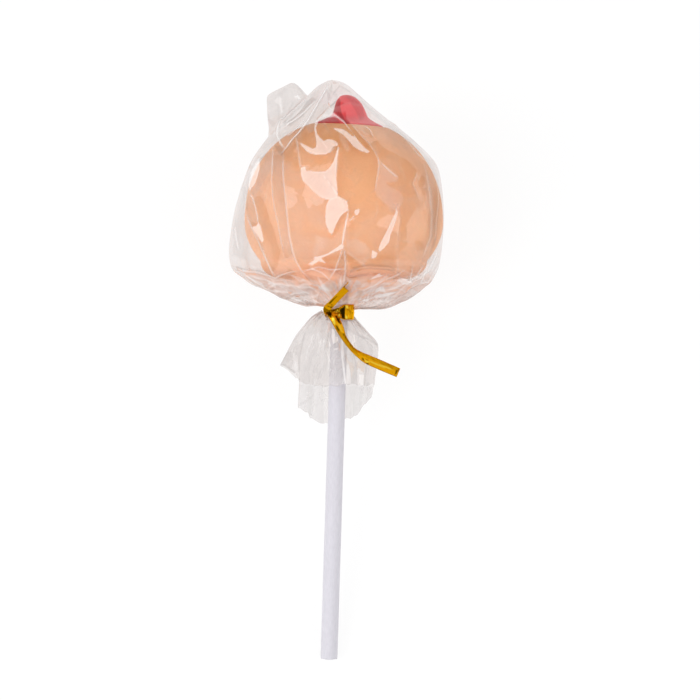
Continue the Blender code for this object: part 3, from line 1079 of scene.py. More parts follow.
@dataclass
class FilmBag:
    """The clear bag: a front and a back panel that meet at the side seams.

    A row share tells how large a part of the rows lies between two knots of the shape's outlines.
    """

    frame: StandingFrame
    head: CandyHead
    shape: FilmShape
    material: bpy.types.Material
    seed: int = 11
    front_columns: int = 332
    back_columns: int = 132
    rows: int = 292
    row_shares: tuple[float, ...] = (0.8, 0.9, 1.3, 1.2, 1.9, 1.5, 1.2, 1.4, 1.0, 0.5, 0.3)
    clearance: float = 0.12
    table_gap: float = 0.02
    low_crumple: Crumple = Crumple(34, -7.0, 2.0, 0.45, 3.2, 0.4, 0.5)
    top_crumple: Crumple = Crumple(10, 44.0, 56.0, 0.3, 3.0, 0.12, 0.15)
    back_crumple: Crumple = Crumple(34, 6.0, 44.0, 0.6, 5.0, 0.5, 0.4)
    front_crumple: Crumple = Crumple(12, 8.0, 38.0, 0.15, 2.5, 0.10, 0.05)
    front_shards: int = 110
    back_shards: int = 60

    def long_folds(self) -> list[Fold]:
        """Give the long folds that part the front panel into flat strips."""
        return [
            Fold(((0.5, 57.0), (-1.6, 30.0), (0.6, 22.0), (1.1, 16.0), (0.4, 9.0), (1.0, 2.0),
                  (0.4, -6.0)), 1.0, 8.0, 0.0, 0.0, 0.16, 0.25),
            Fold(((-20.8, 40.3), (-20.6, 32.9), (-20.7, 28.5), (-20.3, 23.8), (-19.6, 19.7), (-18.6, 15.9),
                  (-16.5, 5.7)), 0.7, 4.0, 0.38, 0.12, 0.192),
            Fold(((-17.8, 36.8), (-17.5, 30.1), (-16.8, 24.2), (-15.2, 12.5), (-14.2, 8.1), (-13.0, 4.9),
                  (-11.1, 2.0), (-8.4, -0.8)), 0.6, 4.0, 0.42, 0.12, 0.208),
            Fold(((-14.1, 41.1), (-12.6, 31.7)), 0.4, 3.0, 0.34, 0.1, 0.24),
            Fold(((-27.4, 24.2), (-26.2, 23.0), (-25.2, 20.1), (-24.5, 17.2), (-24.5, 15.4)),
                 0.6, 3.0, 0.5, 0.1, 0.176),
            Fold(((-28.4, 18.8), (-19.0, 0.3)), 0.6, 3.0, 0.34, 0.25, 0.176),
            Fold(((-23.1, 9.9), (-21.8, 6.1), (-19.3, 0.6)), 0.4, 2.0, 0.25, 0.1),
            Fold(((-31.2, 14.6), (-30.8, 11.4), (-29.8, 7.6)), 0.5, 2.0, 0.43, 0.2, 0.24),
            Fold(((-29.5, 26.5), (-28.2, 23.0), (-28.4, 18.8)), 0.4, 2.0, 0.25, 0.3, 0.2),
            Fold(((-22.5, 37.3), (-25.3, 33.7), (-27.3, 29.8), (-27.4, 24.8)), 0.4, 2.0, 0.31, 0.3, 0.2),
            Fold(((23.5, 34.3), (23.9, 31.3), (24.6, 28.1), (25.7, 19.9), (25.6, 13.4), (23.2, 5.7)),
                 0.6, 4.0, 0.18, 0.2, 0.24),
            Fold(((27.2, 29.4), (27.7, 24.1), (27.0, 17.6), (26.9, 10.5)), 0.4, 2.5, 0.22, 0.3, 0.2),
            Fold(((21.5, 32.1), (20.2, 28.6), (22.1, 24.5)), 0.3, 1.5, 0.25, 0.3),
            Fold(((15.9, 22.6), (16.7, 17.9), (16.3, 12.0), (16.2, 5.5), (16.5, 2.6), (17.2, 1.1)),
                 0.5, 6.0, 0.11, 0.0, 0.4),
            Fold(((4.4, 51.6), (16.2, 42.6), (19.5, 39.4), (21.4, 37.1), (23.5, 35.4), (25.3, 32.9),
                  (27.2, 29.7)), 0.4, 2.0, 0.37, 0.3),
            Fold(((1.1, 55.1), (11.4, 46.8), (21.6, 39.2)), 0.3, 1.6, 0.19, 0.35, 0.24),
        ]

    def top_folds(self) -> list[Fold]:
        """Give the slanting folds under the top edge, up to the drawn-out corner."""
        return [
            Fold(((-8.2, 41.5), (-6.7, 40.1), (-4.8, 37.8)), 0.0, 1.0, 0.75, 0.0, 0.128),
            Fold(((-13.1, 39.0), (-11.0, 37.6), (-7.7, 36.5), (-4.2, 36.9), (-2.2, 38.8)),
                 0.0, 1.0, 0.7, 0.0, 0.112),
            Fold(((-6.4, 30.7), (-3.0, 26.4), (-1.5, 24.1)), 0.0, 1.0, 0.72, 0.0),
            Fold(((-18.0, 36.5), (-13.2, 42.3), (-10.7, 45.9), (-5.7, 55.4), (-5.2, 57.8)),
                 0.8, 2.0, 1.0, 0.5, 0.176),
            Fold(((-17.2, 47.7), (-19.2, 45.0), (-19.7, 43.2), (-19.7, 41.5), (-18.7, 39.1), (-17.5, 37.7)),
                 0.4, 1.6, 0.9, 0.3, 0.224),
            Fold(((-17.9, 42.1), (-16.4, 41.6), (-13.6, 44.0), (-11.6, 47.0)), 0.3, 1.5, 0.5, 0.3),
            Fold(((-17.7, 43.9), (-13.4, 47.0), (-8.8, 52.1)), 0.3, 1.2, 0.7, 0.6),
            Fold(((-16.9, 45.7), (-9.4, 53.0)), -0.3, 1.2),
            Fold(((-18.9, 44.1), (-16.3, 47.5), (-11.2, 53.2)), 0.3, 1.4, 0.4, 0.5, 0.2),
            Fold(((-17.9, 42.7), (-18.7, 46.8), (-19.1, 50.9), (-18.3, 54.5)), 0.3, 2.5, 0.2, 0.2, 0.4),
            Fold(((-16.8, 43.9), (-16.3, 48.1), (-14.7, 51.6)), 0.3, 2.0, 0.2, 0.25, 0.32),
            Fold(((-14.5, 53.7), (-13.5, 52.6)), 0.1, 1.0, 0.9, 0.1),
            Fold(((-5.4, 47.5), (-8.3, 46.2)), 0.2, 1.0, 0.6, 0.2),
            Fold(((-4.8, 57.2), (-4.1, 53.4), (-5.0, 51.6)), -0.3, 1.2),
            Fold(((-1.9, 39.1), (-2.2, 29.1), (-1.8, 25.3)), 0.2, 1.5, 0.4, 0.0),
            Fold(((-5.5, 29.0), (0.1, 21.8), (1.6, 20.4)), 0.3, 1.5, 0.5, 0.0, 0.2),
            Fold(((1.6, 20.1), (0.6, 14.4), (0.1, 9.7)), 0.3, 1.5, 0.85, 0.1),
            Fold(((0.7, 9.1), (1.1, 6.2), (1.2, 2.7), (0.5, -3.2)), 0.3, 1.5, 0.6, 0.2),
            Fold(((0.2, 9.1), (-1.7, 3.2), (-3.4, -0.1)), 0.2, 1.5, 0.4, 0.2, 0.2),
            Fold(((1.1, 8.6), (6.2, 4.9), (7.4, 3.8)), 0.2, 1.5, 0.25, 0.3, 0.24),
            Fold(((0.2, 46.5), (6.9, 40.2), (8.7, 37.9), (9.9, 35.9), (10.3, 33.6), (9.3, 26.5),
                  (7.9, 25.3)), 0.15, 1.5, 0.32, 0.0, 0.176),
            Fold(((3.4, 18.6), (2.0, 17.1)), 0.1, 1.0, 0.5, 0.0),
            Fold(((5.5, 45.2), (7.3, 44.1), (8.3, 41.7)), 0.1, 1.0, 0.35, 0.0),
            Fold(((10.9, 34.5), (13.0, 32.5), (16.0, 30.2)), 0.15, 1.2, 0.5, 0.0),
        ]

    def low_folds(self) -> list[Fold]:
        """Give the folds where the bag draws in under the head."""
        return [
            Fold(((-32.3, 2.5), (-23.7, 1.3), (-19.0, 0.3), (-15.5, 1.6), (-12.0, 2.3)),
                 0.5, 2.0, 0.3, 0.8, 0.2),
            Fold(((-11.1, 2.3), (-6.7, 3.6), (-3.2, 3.1), (1.2, 3.9)), 0.4, 2.0, 0.4, 0.4, 0.2),
            Fold(((2.7, 3.3), (8.0, 4.1), (13.9, 4.0), (16.5, 2.6)), 0.4, 2.0, 0.1, 0.9, 0.224),
            Fold(((-29.6, 2.3), (-21.2, -3.3), (-14.7, -4.3), (-8.3, -3.5)), 0.5, 1.8, 0.4, 0.4, 0.2),
            Fold(((-26.7, 0.9), (-20.7, -1.2), (-14.2, -1.9), (-7.1, -3.2)), 0.5, 1.8, 0.4, 0.4, 0.24),
            Fold(((-28.1, -0.3), (-24.8, -2.2), (-21.8, -4.5)), 0.3, 1.2, 0.55, 0.3),
            Fold(((-0.2, 0.9), (0.2, -1.5), (-2.9, -6.3)), 0.3, 1.2, 0.5, 0.3),
            Fold(((-9.1, 3.5), (-5.5, 1.9), (-2.5, -0.7)), 0.3, 1.2, 0.5, 0.4),
            Fold(((18.9, 3.8), (15.1, 1.3), (9.3, -1.2), (3.5, -3.1)), 0.4, 1.8, 0.36, 0.3, 0.2),
            Fold(((24.7, 5.8), (21.6, 1.5), (15.2, -2.2), (7.6, -4.2)), 0.4, 1.8, 0.34, 0.4, 0.2),
            Fold(((16.9, 1.1), (20.4, 0.3), (21.1, -0.5)), 0.3, 1.2, 0.5, 0.2, 0.24),
            Fold(((21.2, 5.7), (19.9, 0.3), (16.2, -4.2), (11.2, -6.4)), 0.4, 1.5, 0.3, 0.4, 0.2),
            Fold(((28.1, 9.4), (25.6, 3.4), (21.0, -0.2)), 0.4, 1.5, 0.42, 0.4, 0.2),
            Fold(((29.1, 5.9), (25.7, 0.5), (19.9, -2.0), (17.1, -5.7)), 0.4, 1.5, 0.42, 0.4, 0.2),
        ]

    def facets(self) -> list[Facet]:
        """Give the flat facets that mirror the lamps."""
        return [
            Facet(((-13.4, 39.6), (-12.2, 39.3), (-9.3, 38.0), (-8.4, 38.6), (-8.4, 40.3), (-9.1, 43.9),
                   (-8.9, 45.9), (-8.3, 46.5), (-8.0, 46.0), (-8.6, 44.2), (-8.2, 42.4), (-7.3, 41.3),
                   (-6.1, 40.4), (-4.9, 40.8), (-3.5, 40.5), (-2.6, 39.9), (-1.9, 39.1), (-2.2, 38.5),
                   (-3.1, 38.5), (-4.2, 37.2), (-5.4, 36.3), (-7.7, 36.3), (-9.8, 36.5), (-11.3, 37.3))),
            Facet(((-1.9, 38.2), (-1.6, 37.9), (-2.1, 33.5), (-2.2, 29.1), (-1.5, 24.1), (-2.3, 23.5),
                   (-4.1, 23.1), (-6.2, 23.6), (-8.3, 25.1), (-11.9, 28.5), (-12.6, 30.2), (-12.6, 32.3),
                   (-11.4, 32.6), (-11.1, 31.4), (-9.6, 31.5), (-7.9, 31.2), (-5.5, 31.3), (-4.1, 32.5),
                   (-3.0, 34.3))),
            Facet(((-1.5, 24.1), (1.2, 22.7), (1.6, 20.1), (0.4, 19.4), (-0.7, 18.2), (-1.8, 16.1),
                   (-2.9, 12.9), (-3.8, 13.7), (-4.8, 16.0), (-5.1, 19.0), (-4.9, 21.3), (-4.1, 23.1))),
            Facet(((-9.7, 4.1), (-8.0, 5.3), (-8.0, 6.2), (-6.2, 6.6), (-3.9, 7.5), (-0.2, 10.3),
                   (0.1, 11.2), (0.7, 9.4), (-5.9, 6.0), (-4.4, 4.6), (-6.5, 5.1), (-8.5, 3.9))),
            Facet(((-5.4, 47.5), (-3.7, 48.7), (-0.4, 45.6), (4.2, 40.4), (6.0, 38.7), (7.5, 37.6),
                   (6.7, 37.3), (4.6, 37.8), (2.5, 38.9), (0.4, 40.9), (-3.3, 43.7), (-3.3, 44.0),
                   (-1.2, 43.5), (0.6, 42.7), (2.4, 41.6), (2.7, 42.2), (-1.6, 46.2), (-3.1, 47.3),
                   (-5.1, 47.2))),
            Facet(((15.5, 21.4), (16.0, 20.2), (15.4, 17.2), (14.0, 13.1), (13.8, 11.3), (12.4, 9.4),
                   (11.2, 8.3), (10.8, 8.9), (11.4, 10.9), (13.4, 15.1), (15.3, 19.9)), Gleam.RIGHT),
            Facet(((9.0, 8.8), (10.6, 8.0), (10.2, 6.6), (8.9, 6.2)), Gleam.RIGHT),
            Facet(((-24.5, 16.0), (-23.9, 14.9), (-22.8, 10.8), (-23.1, 9.9), (-25.3, 13.1), (-26.5, 14.2),
                   (-25.0, 14.8))),
            Facet(((-24.7, 34.3), (-24.7, 31.9), (-25.2, 29.8), (-26.0, 27.2), (-27.4, 24.8), (-27.7, 26.5),
                   (-26.7, 31.3))),
            Facet(((4.8, 20.7), (4.8, 19.6), (4.0, 18.7), (3.4, 19.5), (3.6, 20.4)), Gleam.RIGHT),
            Facet(((8.4, 0.3), (9.8, 1.5), (11.3, 2.4), (11.6, 1.8), (13.0, 1.9)), Gleam.RIGHT),
            Facet(((-11.9, -1.0), (-11.0, -0.3), (-9.8, -0.9), (-11.3, -1.2))),
        ]

    def veils(self) -> list[Veil]:
        """Give the doubled and the milky parts, and patches of painted highlight and painted glow."""
        return [
            Veil(((-8.3, 47.0), (0.2, 46.5), (4.4, 42.5), (8.7, 37.9), (10.3, 33.6), (9.3, 26.5),
                  (5.0, 22.5), (2.0, 22.0), (-1.6, 25.0), (-1.8, 38.0), (-9.0, 38.0)),
                 doubled=0.06, haze=-0.09, soft=0.4),
            Veil(((-12.6, 45.0), (-9.0, 36.0), (-2.0, 36.0), (-4.0, 32.3), (-12.0, 32.8)),
                 haze=-0.04, soft=0.4),
            Veil(((-8.9, 45.6), (-8.8, 43.3), (-10.6, 42.6), (-11.5, 44.7)), doubled=0.1, haze=0.16),
            Veil(((-1.7, 42.3), (-0.2, 41.2), (1.0, 39.5), (1.6, 37.7), (0.8, 37.1), (-0.4, 38.2),
                  (-1.4, 40.0)), soft=0.4, bright=0.15),
            Veil(((9.9, 35.9), (11.8, 33.9), (14.2, 32.5), (16.0, 31.1), (15.7, 29.3), (13.7, 28.7),
                  (12.5, 29.2), (13.1, 27.8), (16.7, 26.1), (17.9, 24.4), (16.3, 20.2), (13.3, 21.9),
                  (9.7, 24.7), (9.3, 26.5), (9.8, 31.8)), haze=0.05, soft=0.4, warmth=0.6, bright=0.13),
            Veil(((1.3, 11.5), (4.2, 11.9), (6.6, 10.8), (8.4, 9.1), (8.5, 6.7), (6.8, 4.9), (3.8, 6.6),
                  (1.6, 8.6)), soft=0.4, bright=0.13),
            Veil(((2.6, 45.4), (5.8, 45.2), (7.3, 44.1), (7.7, 42.6), (6.2, 42.6)), soft=0.3, bright=0.1),
            Veil(((0.2, 46.5), (4.4, 42.5), (8.7, 37.9), (10.3, 33.6), (9.3, 26.5), (14.0, 20.0),
                  (20.0, 24.0), (25.0, 20.0), (27.0, 30.0), (20.0, 40.0), (8.0, 48.0)),
                 haze=0.01, soft=0.5, bright=0.05),
            Veil(((-20.4, 36.7), (-17.8, 36.8), (-17.1, 25.7), (-14.9, 11.0), (-13.3, 5.2), (-16.5, 5.7),
                  (-19.6, 21.2), (-20.4, 27.0)), doubled=0.16, haze=0.03, bright=0.06),
            Veil(((-20.4, 36.0), (-12.6, 31.0), (-4.0, 22.0), (-3.0, 12.0), (-8.0, 4.0), (-18.0, 0.5),
                  (-24.0, 5.0), (-28.5, 14.0), (-28.5, 22.0), (-25.0, 31.0)),
                 haze=0.02, soft=1.5, bright=0.09),
            Veil(((-20.5, 38.5), (-18.1, 38.3), (-17.5, 36.8), (-18.0, 35.3), (-19.5, 36.5)), doubled=0.9),
            Veil(((-17.9, 42.1), (-16.1, 41.6), (-13.6, 43.7), (-11.6, 46.7), (-13.3, 46.1), (-16.5, 44.2)),
                 haze=0.12),
            Veil(((0.2, 9.1), (1.4, 8.6), (1.8, 3.9), (1.4, -0.8), (-3.1, -0.1), (-1.4, 3.8)),
                 doubled=0.5, haze=0.08),
            Veil(((-28.4, 19.4), (-25.3, 13.1), (-23.1, 9.9), (-21.8, 6.1), (-19.3, 0.6), (-24.0, 9.0),
                  (-26.5, 14.2)), doubled=0.35, haze=0.08),
            Veil(((-27.4, 24.2), (-26.2, 23.0), (-25.2, 20.1), (-24.5, 17.2), (-24.5, 15.4), (-26.5, 14.2),
                  (-27.8, 17.7), (-28.2, 20.9)), doubled=0.4, haze=0.02),
            Veil(((-20.4, 36.7), (-20.6, 32.0), (-26.2, 23.6), (-27.4, 24.8), (-25.7, 27.8), (-24.7, 31.9),
                  (-24.7, 34.3), (-22.5, 36.4)), doubled=0.35, haze=0.06),
            Veil(((-29.0, 26.0), (-27.5, 24.0), (-28.4, 16.0), (-27.2, 9.2), (-26.8, 4.2), (-32.0, 6.0),
                  (-31.5, 16.0)), doubled=0.3, haze=0.02, soft=0.6),
            Veil(((23.5, 34.3), (24.6, 28.1), (25.4, 19.9), (25.3, 13.4), (22.4, 2.2), (25.6, 5.8),
                  (26.8, 12.3), (27.0, 17.6), (25.9, 25.2)), doubled=0.3, haze=0.12, soft=0.3),
            Veil(((27.1, 14.1), (27.2, 11.1), (26.4, 7.6), (25.6, 5.8), (26.0, 9.9)), doubled=0.6),
        ]

    def toned_veils(self) -> list[Veil]:
        """Give the broad parts where the film is clearer or darker over the candy and the cap, with broad
        painted highlights and the painted glow under the head.
        """
        return [
            Veil(((11.7, 45.1), (19.2, 41.5), (26.5, 34.4), (28.5, 25.6), (28.8, 16.8), (27.2, 9.4),
                  (25.9, 13.7), (25.3, 22.6), (23.7, 29.9), (18.8, 35.6), (14.3, 39.0)),
                 doubled=0.28, haze=-0.07, soft=1.3),
            Veil(((23.8, 35.7), (27.1, 31.4), (28.6, 22.7), (28.3, 13.8), (26.9, 10.8), (25.5, 27.0)),
                 doubled=0.26, haze=-0.03, soft=1.1),
            Veil(((24.0, 26.9), (25.4, 12.3), (22.7, 4.8), (5.6, 5.2), (2.3, 16.0)), soft=1.5, bright=0.05),
            Veil(((12.0, 45.4), (7.9, 45.0), (-1.5, 45.0), (-9.2, 45.3), (-4.3, 49.0), (-2.4, 53.5),
                  (-0.1, 54.7), (3.5, 53.4), (7.2, 47.3)), haze=-0.12, soft=0.3),
            Veil(((1.5, 18.0), (2.0, 9.6), (-3.2, 6.7), (-8.5, 5.0), (-7.5, 12.4), (-3.0, 11.6)),
                 soft=0.8, bright=0.14),
            Veil(((-21.0, 5.5), (23.0, 6.0), (24.0, 1.5), (-20.0, 0.5)), soft=1.0, bright=0.06),
            Veil(((-14.0, 1.5), (-4.0, 2.2), (-1.5, 0.5), (-3.5, -2.0), (-13.0, -2.0)),
                 haze=0.22, soft=0.9, warmth=0.25),
            Veil(((6.0, 1.4), (16.0, 1.2), (15.0, -0.6), (8.0, -0.5)), haze=0.2, soft=0.8, warmth=0.1),
            Veil(((-9.0, -4.0), (-3.0, -3.0), (4.5, -3.5), (5.5, -8.5), (-8.0, -8.5)),
                 doubled=-0.3, haze=0.1, soft=0.9, warmth=0.6, bright=0.14),
            Veil(((-20.0, -1.0), (-2.0, 0.0), (3.0, 2.5), (24.0, 2.5), (20.0, -4.0), (-16.0, -6.0)),
                 haze=0.06, soft=1.2, warmth=-0.1, bright=0.03),
            Veil(((-11.5, 44.5), (-14.5, 40.5), (-19.0, 35.5), (-23.5, 33.5), (-24.0, 37.5), (-21.0, 41.5)),
                 doubled=0.22, soft=0.7),
            Veil(((-7.6, 53.5), (-9.0, 47.0), (-17.5, 41.0), (-24.5, 37.0), (-22.5, 44.0), (-22.5, 54.0),
                  (-15.0, 57.5)), doubled=0.13, soft=0.6),
        ]

    def top_veils(self) -> list[Veil]:
        """Give the patches under the top edge, where the slanting folds overlap, with their painted
        highlights and painted glow.
        """
        return [
            Veil(((-8.8, 52.5), (-11.1, 50.6), (-12.2, 49.1), (-13.7, 47.8), (-14.3, 48.1), (-11.5, 51.9),
                  (-10.0, 53.2)), doubled=0.95),
            Veil(((-14.0, 48.4), (-13.7, 48.0), (-16.5, 44.8), (-16.8, 45.1)), doubled=0.9),
            Veil(((-4.4, 57.5), (-4.1, 56.1), (-4.9, 52.8), (-5.3, 52.2), (-5.6, 53.1), (-5.5, 54.3)),
                 doubled=0.5),
            Veil(((-2.0, 56.9), (-1.7, 56.6), (-3.0, 55.2), (-3.7, 54.0), (-4.0, 54.5)), doubled=0.5),
            Veil(((-4.3, 58.1), (-2.7, 57.7), (-3.1, 57.2), (-4.0, 57.3)),
                 doubled=0.1, haze=0.15, warmth=0.8),
            Veil(((-1.6, 56.7), (1.0, 54.9), (0.8, 54.5), (-1.6, 56.2)), doubled=0.35),
            Veil(((-4.6, 50.8), (-8.3, 46.4), (-8.6, 46.8), (-5.5, 50.1)),
                 doubled=0.3, haze=0.25, warmth=1.0),
            Veil(((-5.0, 51.8), (-4.7, 50.9), (-4.9, 50.5), (-5.2, 50.9), (-5.3, 51.6)),
                 doubled=0.1, haze=0.45, warmth=1.0),
            Veil(((-2.2, 52.8), (-2.0, 52.5), (-4.5, 50.3), (-4.7, 50.6)), doubled=0.9),
            Veil(((-3.9, 49.5), (-4.0, 48.4), (-5.4, 47.5), (-7.8, 46.8), (-4.8, 50.3)), bright=0.5),
            Veil(((-17.4, 55.5), (-19.1, 52.8), (-20.6, 52.3), (-20.3, 53.4), (-19.5, 54.6), (-18.0, 55.6)),
                 doubled=0.22, soft=0.25),
            Veil(((-14.9, 53.6), (-14.4, 53.6), (-13.4, 52.4), (-13.6, 52.2)), soft=0.08, bright=0.8),
            Veil(((-16.9, 48.3), (-17.2, 46.8), (-18.6, 45.0), (-19.4, 43.2), (-20.0, 43.2), (-18.9, 45.9),
                  (-17.8, 47.7)), bright=0.25),
            Veil(((-6.0, 57.8), (-5.7, 57.5), (-9.1, 51.2), (-10.3, 52.1), (-10.9, 53.2), (-7.8, 56.8)),
                 doubled=0.25, haze=0.02, soft=0.3),
            Veil(((-8.7, 48.9), (-7.3, 51.3), (-5.1, 56.0), (-4.8, 54.6), (-5.6, 51.9), (-7.6, 49.5)),
                 soft=0.3, bright=0.22),
        ]

    def low_veils(self) -> list[Veil]:
        """Give the patches of the crumpled film under the head, with painted highlights and painted glow.
        """
        return [
            Veil(((-15.8, -6.4), (-6.4, -6.4), (-5.2, -7.2), (-11.1, -8.1), (-15.2, -7.5)),
                 soft=0.4, bright=0.28),
            Veil(((3.6, -7.0), (11.2, -6.4), (16.5, -5.4), (24.6, -0.7), (24.6, -2.5), (17.7, -6.5),
                  (9.5, -8.5), (4.2, -8.4)), soft=0.7, bright=0.16),
            Veil(((-32.0, 2.3), (-28.7, -0.3), (-20.0, -4.4), (-15.5, -7.5), (-12.0, -8.3), (-6.4, -7.7),
                  (-5.2, -6.9), (-11.7, -6.2), (-17.1, -5.2), (-23.0, -2.8)),
                 doubled=0.15, haze=-0.2, soft=0.25, warmth=-0.3),
            Veil(((-18.7, 0.0), (-16.4, 1.0), (-12.9, 2.0), (-12.0, 1.7), (-9.2, -1.8), (-11.9, -1.8),
                  (-13.1, -1.0), (-16.9, -0.5)), doubled=0.1, haze=-0.22, warmth=0.2),
            Veil(((-11.1, 1.7), (-3.1, -0.1), (-5.4, -1.3), (-8.3, -1.9), (-9.5, -0.6)),
                 doubled=0.1, haze=-0.28, warmth=0.4),
            Veil(((-9.7, 3.2), (-6.7, 2.1), (-2.8, 0.2), (-5.4, 0.1), (-8.4, 1.5)), doubled=0.5),
            Veil(((-2.6, 2.6), (-3.1, 1.1), (-4.0, 1.3), (-4.3, 2.2)), doubled=0.9),
            Veil(((-19.0, 0.1), (-16.1, 1.3), (-12.9, 2.0), (-18.7, -0.1)), doubled=1.0),
            Veil(((-21.3, -1.8), (-20.1, -1.2), (-14.8, -1.9), (-15.1, -2.8), (-18.3, -2.6)),
                 haze=0.16, warmth=-0.2, bright=0.2),
            Veil(((-28.1, 1.2), (-23.1, -1.3), (-19.7, -4.1), (-25.1, -0.8), (-27.8, 0.3)),
                 haze=0.1, warmth=-0.4, bright=0.3),
            Veil(((-23.7, -0.1), (-21.3, -0.7), (-22.5, -1.1), (-23.7, -0.7)), doubled=1.0),
            Veil(((-12.7, -1.9), (-8.6, -1.6), (-8.6, -2.0), (-12.4, -2.3)), bright=0.35),
            Veil(((-11.2, -3.9), (-9.4, -4.0), (-9.1, -4.4), (-10.9, -4.3)),
                 haze=0.1, warmth=-0.3, bright=0.3),
            Veil(((-11.2, -4.5), (-5.9, -4.4), (-9.1, -5.0), (-10.9, -5.0)), doubled=0.6),
            Veil(((-11.5, -5.1), (-12.0, -6.1), (-13.5, -5.4), (-12.9, -4.8)),
                 doubled=0.1, haze=-0.05, warmth=0.7),
            Veil(((-7.7, -2.4), (-6.3, -2.2), (-6.8, -3.2), (-7.4, -3.0)),
                 doubled=0.1, haze=-0.05, warmth=0.9),
            Veil(((-15.3, -3.7), (-13.9, -3.8), (-14.7, -4.3)), doubled=0.3, warmth=0.6),
            Veil(((-32.0, 2.3), (-29.6, 2.3), (-25.2, 1.1), (-19.0, 0.0), (-23.1, 0.3)),
                 doubled=0.55, haze=0.08, warmth=0.2),
            Veil(((-30.8, 2.9), (-28.8, 2.6), (-28.1, 1.5), (-30.2, 1.7)),
                 doubled=0.3, haze=0.1, warmth=0.5),
            Veil(((2.5, 1.0), (4.2, 1.5), (8.3, 2.2), (8.0, 1.6), (5.1, 0.7), (2.8, 0.7)),
                 doubled=0.9, haze=-0.05, warmth=0.8),
            Veil(((2.4, 2.1), (2.7, 3.3), (4.1, 3.8), (5.9, 3.7)), doubled=0.9),
            Veil(((1.6, 2.0), (7.4, 3.6), (15.9, 3.3), (13.0, 2.6), (7.1, 2.3), (2.8, 1.3)),
                 haze=0.16, warmth=0.6),
            Veil(((8.6, 3.9), (15.6, 3.6), (15.6, 3.2), (8.9, 3.5)), doubled=0.8),
            Veil(((7.8, -0.1), (10.7, 1.1), (9.3, 0.0), (8.4, -0.3)), doubled=0.6, warmth=0.9),
            Veil(((12.5, 0.4), (16.0, 1.4), (16.3, 0.5), (13.4, -0.5)),
                 doubled=0.1, haze=-0.15, warmth=0.9),
            Veil(((16.1, 3.4), (17.1, 2.9), (17.3, 1.7), (16.9, 1.1), (16.3, 2.3)), doubled=0.8),
            Veil(((16.9, 0.8), (19.0, 0.3), (20.8, -0.5), (18.4, -0.6), (16.9, 0.2)),
                 haze=0.1, warmth=-0.3, bright=0.3),
            Veil(((13.5, -3.4), (11.7, -3.6), (10.2, -3.1), (10.5, -2.3), (12.6, -2.0)),
                 haze=0.12, warmth=-0.4, bright=0.3),
            Veil(((5.3, -6.3), (9.4, -5.3), (13.5, -3.7), (16.7, -3.0), (13.5, -4.6), (10.3, -5.6),
                  (8.3, -6.8), (7.1, -6.1)), haze=0.1, warmth=-0.4, bright=0.5),
            Veil(((8.2, -3.9), (10.5, -3.2), (11.2, -4.1), (8.8, -4.9)), doubled=0.7),
            Veil(((14.4, -4.1), (13.0, -5.5), (10.6, -6.4), (11.2, -5.5), (12.9, -4.6)), doubled=0.5),
            Veil(((20.8, -1.4), (18.5, -4.1), (19.1, -2.4), (19.9, -1.2)), doubled=0.2, warmth=0.9),
            Veil(((17.1, -7.1), (18.3, -5.9), (24.9, -2.5), (27.2, 0.2), (29.4, 4.7), (28.0, 1.7),
                  (25.8, -1.6), (21.2, -3.8), (17.7, -6.2)),
                 doubled=0.25, haze=-0.16, soft=0.25, warmth=-0.4),
            Veil(((4.8, -8.7), (13.4, -8.4), (16.6, -7.1), (6.6, -8.0)),
                 doubled=0.2, haze=-0.14, warmth=-0.4),
            Veil(((25.9, 5.1), (23.7, -0.4), (23.4, -0.2), (24.2, 2.5), (25.3, 5.2)),
                 haze=0.1, warmth=-0.3, bright=0.4),
            Veil(((24.4, 4.0), (24.5, 1.6), (22.8, 1.3), (23.3, 3.4)), haze=0.12, warmth=-0.2),
            Veil(((1.0, -0.3), (4.6, 0.1), (6.4, -1.0), (3.4, -2.0), (1.4, -1.4)), haze=0.16, warmth=-0.3),
            Veil(((-5.7, -1.1), (-2.8, -0.1), (-0.7, -1.2), (-1.8, -3.3), (-4.5, -2.8)),
                 haze=0.18, warmth=-0.3),
        ]

    def shards(self, draw: np.random.Generator, count: int) -> list[Veil]:
        """Draw flat splinters of crumpled film that point to the neck: dark, milky, warm with the
        painted glow of the candy's light, clear, or bright with a painted highlight.

        Args:
            draw: the random draws.
            count: how many splinters.

        Returns:
            The splinters.
        """
        shards = []
        for _ in range(count):
            x, z = draw.uniform(-31.0, 30.0), draw.uniform(-8.0, 2.5)
            heading = math.atan2(-8.0 - z, -x) + draw.normal(0.0, 0.13)
            length, width = draw.uniform(2.5, 11.0), draw.uniform(0.25, 1.0)
            skew = draw.uniform(-0.8, 0.8)
            corners = ((0.0, 0.0), (0.55 * length, width), (length, 0.3 * width + skew),
                       (0.4 * length + skew, -width))
            outline = tuple((x + a * math.cos(heading) - b * math.sin(heading),
                             z + a * math.sin(heading) + b * math.cos(heading))
                            for a, b in corners)
            size = draw.uniform(0.3, 1.0)
            shards.append((Veil(outline, 0.45 * size, 0.0, 0.12),
                           Veil(outline, 0.0, 0.22 * size, 0.12, -0.3),
                           Veil(outline, 0.15, 0.05, 0.12, 0.55 * size),
                           Veil(outline, 0.0, -0.16 * size, 0.12),
                           Veil(outline, 0.0, 0.0, 0.12, 0.0, 0.35 * size))[draw.integers(5)])
        return shards

    def gathers(self, points: Points, angle: np.ndarray) -> Points:
        """Give the pleats that run in to the neck: zigzags round the axis that grow below.

        Args:
            points: the panel's points.
            angle: their angles round the axis.

        Returns:
            How far the film stands off at each point.
        """
        radius = np.hypot(points[..., 0], points[..., 1])
        below = rise(-points[..., 2], -5.0, 6.0)
        waves = (0.5 * zigzag(13.0 * angle + 0.4 * np.sin(3.0 * angle))
                 + 0.35 * zigzag(23.0 * angle + 1.0 + 0.8 * np.sin(2.0 * angle))
                 + 0.25 * zigzag(41.0 * angle + 2.0))
        return 0.75 * below * waves * np.minimum(0.09 * radius, 1.0)

